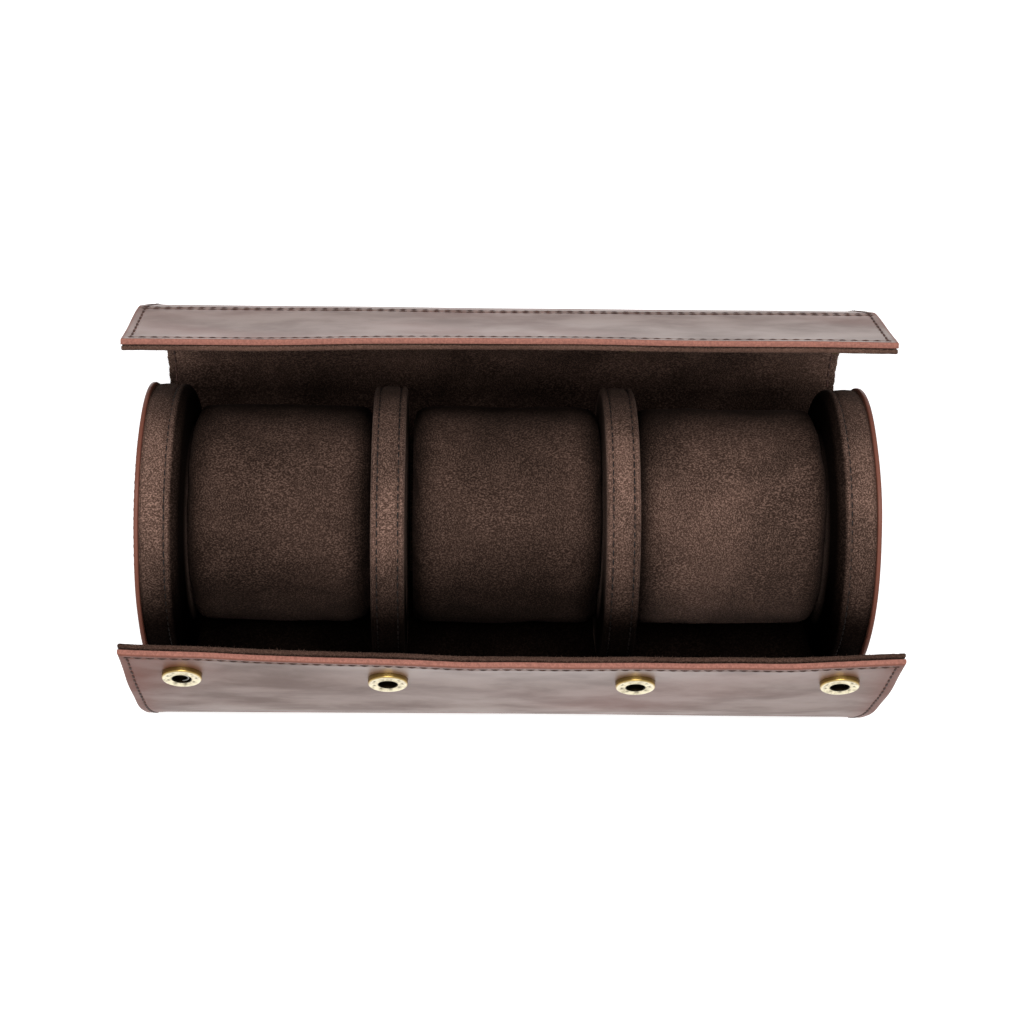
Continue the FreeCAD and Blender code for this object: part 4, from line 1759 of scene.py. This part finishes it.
@dataclass
class EndCap(PaddedDisc):
    """An end cap: a leather disc outside and a padded suede disc inside."""

    way: int = 1
    leather: float = 1.5
    thickness: float = 15.0
    band: float = 8.5
    roll: float = 4.5
    step: float = 0.8
    stitch_margin: float = 2.8

    def build(self, seed: int) -> list[Piece]:
        """Build the cap; X grows from its outer face to its inner one.

        Args:
            seed: The seed of its unevenness.

        Returns:
            Its pieces.
        """
        rim = self.radius - self.step
        seam = self.leather + self.band
        inner = self.thickness
        profile = [(self.leather - 0.3, 0.0), (self.leather - 0.3, 20.0), (self.leather - 0.3, rim - 1.2),
                   (self.leather + 0.1, rim - 1.0), (self.leather + 0.45, rim - 0.7)]
        profile += arc((self.leather + 1.4, rim - 0.55), (0.7, 0.5), 180, 90, 5)
        profile += [(x, rim - 0.05 + 0.3 * math.sin(math.pi * (x - self.leather - 1.4) / (self.band - 2.9)))
                    for x in np.linspace(self.leather + 2.2, seam - 2.0, 6)]
        profile += [(seam - 1.2, rim - 0.05), (seam - 0.6, rim - 0.35), (seam - 0.2, rim - 0.85),
                    (seam + 0.1, rim - 0.8), (seam + 0.35, rim - 0.2), (seam + 0.75, rim + 0.28),
                    (seam + 1.25, rim + 0.30)]
        face = rim - self.roll
        profile += arc((inner - self.roll + 1.2, face + 0.2), (self.roll - 1.2, self.roll), 88, 4, 9)
        profile += [(inner + 0.35 * math.sin(math.pi * (1 - r / face)), r)
                    for r in np.linspace(face - 1.5, 1.0, 12)]
        profile.append((inner, 0.0))
        outward = [(self.way * (x - self.thickness / 2), r) for x, r in profile]
        mesh = self.pad(outward, 3.1 * seed, 0.3)
        fuzzy = [self.ring(self.way * (seam + 0.7 - inner / 2), rim + 0.2, (0.0, 1.0)),
                 self.ring(self.way * (self.leather + 0.9 - inner / 2), rim - 0.2, (-self.way * 0.6, 0.8))]
        nodes = [self.name + part for part in ("_foam", "_rim_band", "_suede_face")]
        piece = self.finish(mesh, fuzzy, seed, nodes)
        disc = self.disc(seed)
        seams = self.ring(self.way * (seam - inner / 2), rim - 0.85, (0.0, 1.0))
        rows = self.ring(-self.way * inner / 2, self.radius - self.stitch_margin, (-self.way, 0.0))
        self.sew([seams, rows], seed, Length=2.7, Thread=0.33, Rise=0.14)
        return [piece, disc]

    def exposed(self, local: Array) -> Array:
        """Share of colour left under painted shade, by how open to the light it lies: the band is open, the
        roll inside its seam is not.
        """
        inside = self.way * local[:, 0] + self.thickness / 2 - self.leather - self.band
        return mixed(0.12, 1.0, rise(-inside, start=-2.6, over=1.6)) * super().exposed(local)

    def disc(self, seed: int) -> Piece:
        """The outer leather disc, with a groove for its stitches and a raw rim.

        Args:
            seed: The seed of its unevenness.

        Returns:
            The piece.
        """
        radius, thick, round_off = self.radius, self.leather, 0.45
        face = (0.0, 0.6, 1.5, 3.0, 5.0, 8.0, 12.0, 17.0, 23.0, 29.0, 35.0, 40.0, 44.0)
        profile = [(0.0, r) for r in face]
        for gap in (4.4, 3.7, 3.2, 2.8, 2.4, 1.9, 1.3, 0.9):
            profile.append((0.28 * float(ridge(np.array(gap - self.stitch_margin), 0.5)), radius - gap))
        profile += arc((round_off, radius - round_off), (-round_off, round_off), 0, 90, 6)
        profile += arc((thick - round_off, radius - round_off), (round_off, round_off), 90, 0, 6)
        profile += [(thick, radius - 3.0), (thick, 0.0)]
        points, faces = lathe([(self.way * (x - self.thickness / 2), r) for x, r in profile], self.segments)
        reach = np.linalg.norm(points[:, 1:], axis=1)
        points = roughened(points, (self.way * 400.0, 0.0, 0.0), 0.22, 23.0, 5.0 * seed)
        side = np.abs(points[:, 0] + self.way * (self.thickness / 2 - thick / 2))
        raw = np.clip((reach - radius + round_off) / 0.35, 0, 1)
        raw = raw * np.clip((thick / 2 - side + 0.15) / 0.3, 0, 0.15)
        margin = np.clip((reach - radius + 3.0) / 3.0, 0, 1)
        values = {CUT_AND_HOLLOW_SHADE: raw, MARGIN: margin}
        mesh = mesh_from(self.name + "_disc", self.set_down(points), faces, 60.0, values)
        piece = new_object(self.name + "_disc", mesh, self.finishes.cap_leather)
        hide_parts(self.name + "_leather")
        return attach(piece, "base")


@dataclass
class Divider(PaddedDisc):
    """A divider: a board between two pads, with a rim band sewn to both faces."""

    half: float = 5.8
    seam: float = 3.6
    roll: float = 2.0

    def build(self, seed: int) -> list[Piece]:
        """Build the divider.

        Args:
            seed: The seed of its unevenness.

        Returns:
            Its pieces.
        """
        rim, seam = self.radius, self.seam
        edge = [(x, rim + 0.15 * math.cos(math.pi * x / (2 * seam)))
                for x in np.linspace(0.0, seam - 1.0, 5)]
        edge += [(seam - 0.55, rim - 0.25), (seam - 0.15, rim - 0.7), (seam + 0.15, rim - 0.65),
                 (seam + 0.4, rim - 0.1), (seam + 0.75, rim + 0.25)]
        edge += arc((self.half - 1.35, rim - self.roll + 0.25), (1.35, self.roll), 85, 4, 8)
        face = rim - self.roll
        edge += [(self.half + 0.1 * math.sin(math.pi * (1 - r / face)), r)
                 for r in np.linspace(face - 1.0, 1.0, 12)]
        profile = [(-self.half, 0.0)] + [(-x, r) for x, r in reversed(edge)] + edge[1:] + [(self.half, 0.0)]
        mesh = self.pad(profile, 2.3 * seed + 40, 0.25)
        fuzzy = [self.ring(way * (seam + 0.7), rim + 0.1, (way * 0.3, 1.0)) for way in (-1, 1)]
        nodes = [self.name + part for part in ("_foam", "_rim_band", "_suede_faces")]
        piece = self.finish(mesh, fuzzy, seed, nodes)
        seams = [self.ring(way * seam, rim - 0.7, (0.0, 1.0)) for way in (-1, 1)]
        self.sew(seams, seed, Length=2.7, Thread=0.34, Rise=0.12)
        return [piece]


# Pillows

@dataclass
class Pillow:
    """A stuffed suede pillow, blown up by a cloth simulation and held by its room."""

    finishes: Finishes
    name: str
    centre_x: float
    room: float = 66.93
    depth: float = 80.0
    height: float = 85.0
    # shade darkens the whole suede evenly; fore and aft set the painted shade at its front and its rear
    shade: float = 0.5
    fore: float = 0.2
    aft: float = 108.0
    rearward: float = 6.0
    floor: float = 3.9
    side_gap: float = 0.4
    slack: float = 1.2
    end_draw: float = 1.6
    shoulder: float = 2.2
    voxel: float = 3.2
    pressure: float = 4.0
    frames: int = 20
    reach: float = 5.0
    around: int = 96
    levels: int = 2
    # Painted shade: where the front's ends, the share left at the rear and at the ends, how far in from the
    # ends it eases, and the rim inside which the flat ends get the inside painted shade
    fore_end: float = 62.0
    aft_kept: float = 0.13
    end_kept: float = 0.35
    end_ease: float = 11.0
    rim_depth: float = 16.0
    rim_ease: float = 12.0

    @property
    def centre_z(self) -> float:
        """The height of the pillow's axis."""
        return self.floor + self.height / 2

    def slack_cover(self) -> Mesh:
        """The cover before it is filled: a flat-ended roll with a flat foot.

        Returns:
            The mesh.
        """
        half = self.room / 2 - self.side_gap - 0.3
        stations = [(half, self.end_draw + 1.0), (half - 0.3, self.end_draw - 1.0), (half - 1.2, 0.8),
                    (half - self.shoulder, 0.2), (half - 12.0, 0.0)]
        stations += [(x, 0.0) for x in np.linspace(half - 18.0, 18.0 - half, 7)]
        stations += [(-x, draw) for x, draw in reversed(stations[:5])]
        angle = np.arange(self.around) * 2 * math.pi / self.around
        rings = []
        for x, draw in stations:
            y = (self.depth / 2 - self.slack - draw) * np.cos(angle)
            z = (self.height / 2 - self.slack - draw) * np.sin(angle)
            z = np.maximum(z, -self.height / 2 + self.slack + 1.2)
            rings.append(np.stack([np.full_like(y, x), y, z], 1))
        ends = np.array([[half, 0.0, 0.0], [-half, 0.0, 0.0]])
        points = np.concatenate(rings + [ends]) + np.array([self.centre_x, self.rearward, self.centre_z])
        return mesh_from(self.name + "_cover", points, tube_faces(len(stations), self.around))

    def evened(self, mesh: Mesh) -> Piece:
        """The slack cover with an even grid of faces.

        Args:
            mesh: The slack cover.

        Returns:
            The new cover.
        """
        source = new_object(self.name + "_slack", mesh, self.finishes.suede)
        remesh = source.modifiers.new("Even", "REMESH")
        remesh.mode = "VOXEL"
        remesh.voxel_size = self.voxel * MM
        even = evaluated(source)
        bpy.data.objects.remove(source)
        return new_object(self.name + "_cushion", even, self.finishes.suede)

    def blow_up(self, piece: Piece) -> None:
        """Fill the cover by pressure, within the reach of its cloth.

        Args:
            piece: The cover.
        """
        rest = points_of(piece.data)
        cloth = piece.modifiers.new("Fill", "CLOTH")
        cloth.settings.use_pressure = True
        cloth.settings.uniform_pressure_force = self.pressure
        cloth.settings.effector_weights.gravity = 0.0
        scene = bpy.context.scene
        for step in range(1, self.frames + 1):
            scene.frame_set(step)
        graph = bpy.context.evaluated_depsgraph_get()
        filled = points_of(piece.evaluated_get(graph).data)
        piece.modifiers.remove(cloth)
        scene.frame_set(1)
        move = filled - rest
        length = np.maximum(np.linalg.norm(move, axis=1, keepdims=True), 1e-9)
        limit = np.minimum(length, self.reach * MM)
        self.set_points(piece.data, rest + move / length * limit)

    @staticmethod
    def set_points(mesh: Mesh, points: Array) -> None:
        """Move a mesh's points, in metres."""
        mesh.vertices.foreach_set("co", points.astype(np.float32).ravel())
        mesh.update()

    def refined(self, piece: Piece) -> None:
        """Subdivide the cover for good.

        Args:
            piece: The cover.
        """
        smooth = piece.modifiers.new("Smooth", "SUBSURF")
        smooth.levels = smooth.render_levels = self.levels
        fine = evaluated(piece)
        piece.modifiers.remove(smooth)
        coarse, piece.data = piece.data, fine
        bpy.data.meshes.remove(coarse)
        fine.shade_smooth()

    def settled(self, piece: Piece, seed: float) -> None:
        """Dent the cover, crease its end seams, keep it in its room and store its painted shade.

        Args:
            piece: The cover.
            seed: Where in the noise its dents lie.
        """
        centre = np.array([self.centre_x, self.rearward, self.centre_z])
        points = points_of(piece.data) / MM
        points = roughened(points, centre, 0.9, 24.0, seed)
        points = roughened(points, centre, 0.35, 9.0, seed + 5.0)
        local = points - centre
        half = self.room / 2 - self.side_gap
        seam = half - self.shoulder * 0.8 - np.abs(local[:, 0])
        sunk = 0.45 * ridge(seam, 0.9)
        round_way = local * np.array([0.0, 1.0, 1.0])
        length = np.maximum(np.linalg.norm(round_way, axis=1, keepdims=True), 1e-6)
        local = local - round_way / length * sunk[:, None]
        local[:, 0] = np.clip(local[:, 0], -half, half)
        local[:, 2] = np.clip(local[:, 2], -self.height / 2 + 0.05, self.height / 2 - 0.2)
        self.set_points(piece.data, (local + centre) * MM)
        # Painted shade by the way each point faces, deeper at the ends and on the flat ends deep inside, on
        # top of the even darkening
        way = np.degrees(np.arctan2(local[:, 2], -local[:, 1]))
        kept = unshaded_share(way, (self.fore, self.fore_end), (self.aft_kept, self.aft))
        kept = kept * mixed(self.end_kept, 1.0, smoothstep((half - np.abs(local[:, 0])) / self.end_ease))
        reach = np.linalg.norm(local[:, 1:], axis=1)
        rim = rise(reach, self.height / 2 - self.rim_depth, self.rim_ease)
        add_values(piece.data, SHADE, 1 - (1 - self.shade) * mixed(INSIDE_KEPT, kept, rim))

    def build(self, seed: int) -> Piece:
        """Build the pillow.

        Args:
            seed: The seed of its dents.

        Returns:
            The piece.
        """
        piece = self.evened(self.slack_cover())
        self.blow_up(piece)
        self.refined(piece)
        self.settled(piece, 7.7 * seed)
        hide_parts(self.name + "_cover", self.name + "_foam")
        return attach(piece, self.name)


# Press snaps

@dataclass
class PressSnaps:
    """Sockets on the front flap and studs on the closure band."""

    finishes: Finishes
    seams: Seams
    wrap: Wrap
    socket_radius: float = 6.75
    socket_rise: float = 2.2
    hole: float = 3.1
    dimples: int = 9
    from_edge: float = 17.0
    stud_from_fold: float = 32.5
    tilt: float = 0.05
    stud_shift: float = 1.1
    flange: float = 5.2
    foot: float = 5.5
    segments: int = 144
    seat_step: float = 2.0
    sharp_deg: float = 48.0

    def socket_profile(self) -> Outline:
        """Half outline of a socket, from the leather up and over into its hole.

        Returns:
            Points (height, radius).
        """
        top, radius = self.socket_rise, self.socket_radius
        dish = top - 0.45
        profile = [(-0.7, 0.0), (-0.7, radius - 0.4), (-0.4, radius - 0.08), (0.0, radius),
                   (top - 0.8, radius - 0.1)]
        profile += arc((top - 0.65, radius - 0.75), (0.65, 0.65), 85, 5, 8)
        profile += [(top - 0.05, radius - 1.05), (dish + 0.08, radius - 1.5), (dish, radius - 1.8)]
        profile += [(dish, r) for r in np.linspace(radius - 1.95, self.hole + 0.95, 6)]
        profile += [(dish + 0.2, self.hole + 0.7)]
        profile += arc((dish - 0.05, self.hole + 0.36), (0.36, 0.36), 60, -80, 7)
        return profile + [(dish - 0.7, self.hole + 0.02), (0.35, self.hole + 0.1),
                          (0.22, self.hole - 0.3), (0.2, 0.0)]

    def stud_profile(self) -> Outline:
        """Half outline of a stud, from the lining out to its ball.

        Returns:
            Points (height, radius).
        """
        profile = [(0.0, 0.0), (0.0, self.flange - 0.2), (0.15, self.flange), (0.4, self.flange - 0.05)]
        profile += [(0.58, self.flange - 0.5), (0.6, 2.6), (0.68, 2.2), (0.85, 2.08)]
        profile += arc((1.3, 1.75), (0.6, 0.70), 165, 20, 8)
        return profile + [(1.92, 1.2), (1.9, 0.0)]

    def foot_profile(self) -> Outline:
        """Half outline of the post's foot, let into the lining.

        Returns:
            Points (height, radius).
        """
        return [(-1.0, 0.0), (-1.0, 1.6), (-0.75, 1.7), (-0.75, self.foot - 0.2), (-0.55, self.foot),
                (-0.15, self.foot - 0.1), (0.02, self.foot - 0.6), (0.05, 3.0), (-0.05, 2.4),
                (-0.05, 1.0), (-0.03, 0.0)]

    def turned(self, name: str, profile: Outline, dark_below: float) -> Piece:
        """A turned piece about the Z axis, with painted shade in its hollow and low on its outer wall.

        Args:
            name: The piece's name.
            profile: Its half outline (height, radius).
            dark_below: Within this radius, the hollow gets painted shade.

        Returns:
            A piece to copy onto its seats.
        """
        points, faces = lathe(profile, self.segments)
        points = points[:, [1, 2, 0]]
        reach = np.linalg.norm(points[:, :2], axis=1)
        side = np.clip((self.socket_radius - 0.2 - reach) / 0.4, 0, 1)
        # Painted shade: black in the hollow, half dark low on the outer wall; the dimples below get a dark
        # fill
        hollow = np.clip((dark_below - reach) / 0.3, 0, 1)
        low = np.clip(1 - points[:, 2] / 1.4, 0, 1) * (1 - side)
        if dark_below:
            angle = np.arctan2(points[:, 1], points[:, 0])
            ring = (dark_below + self.socket_radius) / 2 - 0.35
            dent = ridge(reach - ring, 0.42) * (0.5 + 0.5 * np.cos(self.dimples * angle)) ** 3
            dent = dent * (points[:, 2] > 1.0)
            points[:, 2] -= 0.16 * dent
            hollow = np.maximum(hollow, 0.8 * dent)
        values = {CUT_AND_HOLLOW_SHADE: np.maximum(hollow, 0.5 * low), MARGIN: 1 - side}
        mesh = mesh_from(name, points, faces, self.sharp_deg, values)
        return new_object(name, mesh, self.finishes.brass)

    def seats(self, flap: Flap, layer: Layer, along: float) -> Mesh:
        """One point per snap on a sheet, with its normal and the way along the roll.

        Args:
            flap: The flap.
            layer: The sheet.
            along: The snaps' place along the flap.

        Returns:
            The points.
        """
        x = np.array(self.wrap.snap_places()) + (self.stud_shift if flap.side is Side.REAR else 0.0)
        places = np.full_like(x, along)
        points, facing = self.wrap.shown_side(flap, layer, x, places)
        ahead, _ = self.wrap.shown_side(flap, layer, x, places + self.seat_step)
        normals = np.cross(ahead - points, (1.0, 0.0, 0.0))
        normals = normals * np.sign(np.sum(normals * facing, 1))[:, None] / self.seat_step
        if layer is Layer.LEATHER:
            normals[:, 2] += self.tilt
        mesh = line_mesh("snap_seats", [(points, normals)])
        ways = mesh.attributes.new(TANGENT, "FLOAT_VECTOR", "POINT")
        ways.data.foreach_set("vector", np.tile((1.0, 0.0, 0.0), len(x)).astype(np.float32))
        return mesh

    def set_on(self, name: str, source: Piece, seats: Mesh, finish: Material,
               body: str, node: str) -> None:
        """Copy a turned piece onto its seats.

        Args:
            name: The new piece's name.
            source: The piece to copy.
            seats: Its seats.
            finish: Its material.
            body: The body that it rides on.
            node: The solid that it stands for.
        """
        mesh = self.seams.seats.run(name, seats, finish, 0, Piece=source)
        bpy.data.objects.remove(source)
        mesh.set_sharp_from_angle(angle=math.radians(self.sharp_deg))
        piece = new_object(name, mesh, finish)
        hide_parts(node)
        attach(piece, body)

    def build(self) -> None:
        """Build sockets, posts and studs."""
        front, rear = self.wrap.front_flap(), self.wrap.rear_flap()
        brass, shaded_brass = self.finishes.brass, self.finishes.brass_in_painted_shade
        along = front.section.length - self.from_edge
        socket = self.turned("socket", self.socket_profile(), self.hole + 0.5)
        seats = self.seats(front, Layer.LEATHER, along)
        self.set_on("snap_socket_rings", socket, seats, brass, "front_snap_strip", "snap_sockets")
        foot = self.turned("foot", self.foot_profile(), 0.0)
        seats = self.seats(front, Layer.LINING, along)
        self.set_on("snap_post_feet", foot, seats, shaded_brass, "front_snap_strip", "socket_posts")
        stud = self.turned("stud", self.stud_profile(), 0.0)
        seats = self.seats(rear, Layer.LINING, rear.folds[-1].along + self.stud_from_fold)
        self.set_on("snap_stud_balls", stud, seats, shaded_brass, "closure_band", "snap_studs")


# Hidden solids

def dress_hidden(finishes: Finishes) -> list[str]:
    """Give every solid that stays a finish of its own.

    Args:
        finishes: The roll's materials.

    Returns:
        The solids' names.
    """
    endings = {"_board": finishes.board, "socket_springs": finishes.steel,
               "stud_rivets": finishes.brass_in_painted_shade}
    dressed = []
    for name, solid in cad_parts.items():
        for ending, material in endings.items():
            if name.endswith(ending) and not solid.hide_render:
                solid.data.materials.clear()
                solid.data.materials.append(material)
                dressed.append(name)
    return dressed


# Studio

@dataclass(frozen=True)
class Studio:
    """A white floor, soft light from above and the photographer's camera."""

    focal_px: float = 2237.0
    frame_px: float = 1024.0
    sensor: float = 36.0
    pitch: float = 22.0
    yaw: float = 1.42
    roll: float = -0.44
    shift: Span = (-2.2, -4.2)
    distance: float = 808.0
    aim: tuple[float, float, float] = (0.0, 0.0, 52.6)
    floor_size: float = 4.0
    floor_glow: float = 0.75
    floor_sheen: float = 0.70
    sky: float = 0.22
    lamp_aim: tuple[float, float, float] = (0.0, 0.0, 0.06)

    def camera(self) -> None:
        """Set up the camera as the photograph was taken."""
        turn = (Matrix.Rotation(math.radians(self.roll), 3, "Z")
                @ Matrix.Rotation(math.radians(self.yaw), 3, "Y")
                @ Matrix.Rotation(math.radians(-self.pitch), 3, "X"))
        to_world = turn.transposed()
        back = to_world @ Vector((-self.shift[0], -self.shift[1], self.distance))
        data = bpy.data.cameras.new("camera")
        data.sensor_width = self.sensor
        data.lens = self.focal_px / self.frame_px * self.sensor
        data.clip_start, data.clip_end = 0.01, 20.0
        camera = linked("camera", data)
        camera.matrix_world = Matrix.Translation((Vector(self.aim) + back) * MM) @ to_world.to_4x4()
        bpy.context.scene.camera = camera

    def floor(self) -> None:
        """A pale floor that looks white and keeps the object's shadow."""
        half = self.floor_size / 2
        mesh = bpy.data.meshes.new("floor")
        corners = [(-half, -half, 0), (half, -half, 0), (half, half, 0), (-half, half, 0)]
        mesh.from_pydata(corners, [], [(0, 1, 2, 3)])
        material, graph, shader = new_material("floor", (0.9, 0.9, 0.9))
        graph.set(shader, Base_Color=(0.86, 0.86, 0.86, 1.0), Roughness=0.9, Specular_IOR_Level=0.0)
        path = graph.add("ShaderNodeLightPath").outputs
        mirrored = graph.math("MAXIMUM", path["Is Glossy Ray"], path["Is Transmission Ray"])
        mirrored = graph.scaled(mirrored, self.floor_sheen)
        seen = graph.scaled(path["Is Camera Ray"], self.floor_glow)
        glow = graph.add("ShaderNodeEmission", {"Strength": graph.math("ADD", seen, mirrored)})
        both = graph.add("ShaderNodeAddShader", {0: shader.outputs[0], 1: glow.outputs[0]})
        graph.feed(material.node_tree.nodes["Material Output"].inputs["Surface"], both.outputs[0])
        new_object("floor", mesh, material)

    def world(self) -> None:
        """An even pale surround that looks white."""
        world = bpy.data.worlds.new("surround")
        world.use_nodes = True
        graph = Graph(world.node_tree)
        path = graph.add("ShaderNodeLightPath").outputs
        seen = graph.math("MAXIMUM", path["Is Camera Ray"], path["Is Glossy Ray"])
        seen = graph.math("MAXIMUM", seen, path["Is Transmission Ray"])
        strength = graph.math("ADD", graph.scaled(seen, 1.0 - self.sky), self.sky)
        background = world.node_tree.nodes["Background"]
        graph.set(background, Color=(1.0, 1.0, 1.0, 1.0), Strength=strength)
        bpy.context.scene.world = world

    def lamp(self, name: str, place: Sequence[float], size: Span, power: float) -> None:
        """A soft box that points at the object.

        Args:
            name: The lamp's name.
            place: Where it hangs, in metres.
            size: Its two sides, in metres.
            power: Its power in watts.
        """
        data = bpy.data.lights.new(name, "AREA")
        data.shape = "RECTANGLE"
        data.size, data.size_y = size
        data.energy = power
        lamp = linked(name, data)
        lamp.location = place
        aim = Vector(self.lamp_aim) - Vector(place)
        lamp.rotation_euler = aim.to_track_quat("-Z", "Y").to_euler()

    def build(self) -> None:
        """Set up camera, floor, surround and lamps."""
        self.camera()
        self.floor()
        self.world()
        self.lamp("top_box", (0.03, -0.20, 1.28), (0.8, 0.55), 11.0)
        self.lamp("front_box", (-0.10, -0.80, 1.15), (0.9, 0.6), 2.5)
        bpy.context.scene.view_settings.view_transform = "Standard"


class Room(NamedTuple):
    """One pillow's room, the even darkening of its pillow's suede, and the painted shade at the pillow's
    front and rear.
    """

    side: str
    centre_x: float
    width: float
    shade: float
    fore: float
    aft: float


CAP_X = 119.5
CAP_RADIUS = 50.0
DIVIDER_X = (-41.4, 39.2667)
DIVIDER_RADIUS = 49.3
ROOMS = (
    Room("left", -79.6, 64.8, 0.54, 0.75, 104.0),
    Room("middle", -0.2, 66.9, 0.56, 0.5, 104.0),
    Room("right", 78.5333, 66.93, 0.2, 0.95, 78.0))


def main() -> None:
    """Build every sub-assembly in order and report its pieces."""
    logging.basicConfig(level=logging.INFO, format="%(name)s: %(message)s")
    Studio().build()
    finishes, seams = Finishes(), Seams()
    wrap = Wrap(finishes, seams)
    for piece in wrap.build():
        LOG.info("wrap piece %s", piece.name)
    for number, (side, way) in enumerate((("left", 1), ("right", -1))):
        cap = EndCap(finishes, seams, side + "_cap", -way * CAP_X, CAP_RADIUS, way=way)
        LOG.info("end cap %s", [piece.name for piece in cap.build(number + 1)])
        divider = Divider(finishes, seams, side + "_divider", DIVIDER_X[number], DIVIDER_RADIUS)
        LOG.info("divider %s", [piece.name for piece in divider.build(number + 3)])
    for number, room in enumerate(ROOMS):
        pillow = Pillow(finishes, room.side + "_pillow", room.centre_x, room.width,
                        shade=room.shade, fore=room.fore, aft=room.aft)
        LOG.info("pillow %s", pillow.build(number + 1).name)
    PressSnaps(finishes, seams, wrap).build()
    LOG.info("hidden solids %s", dress_hidden(finishes))


if __name__ == "__main__":
    main()
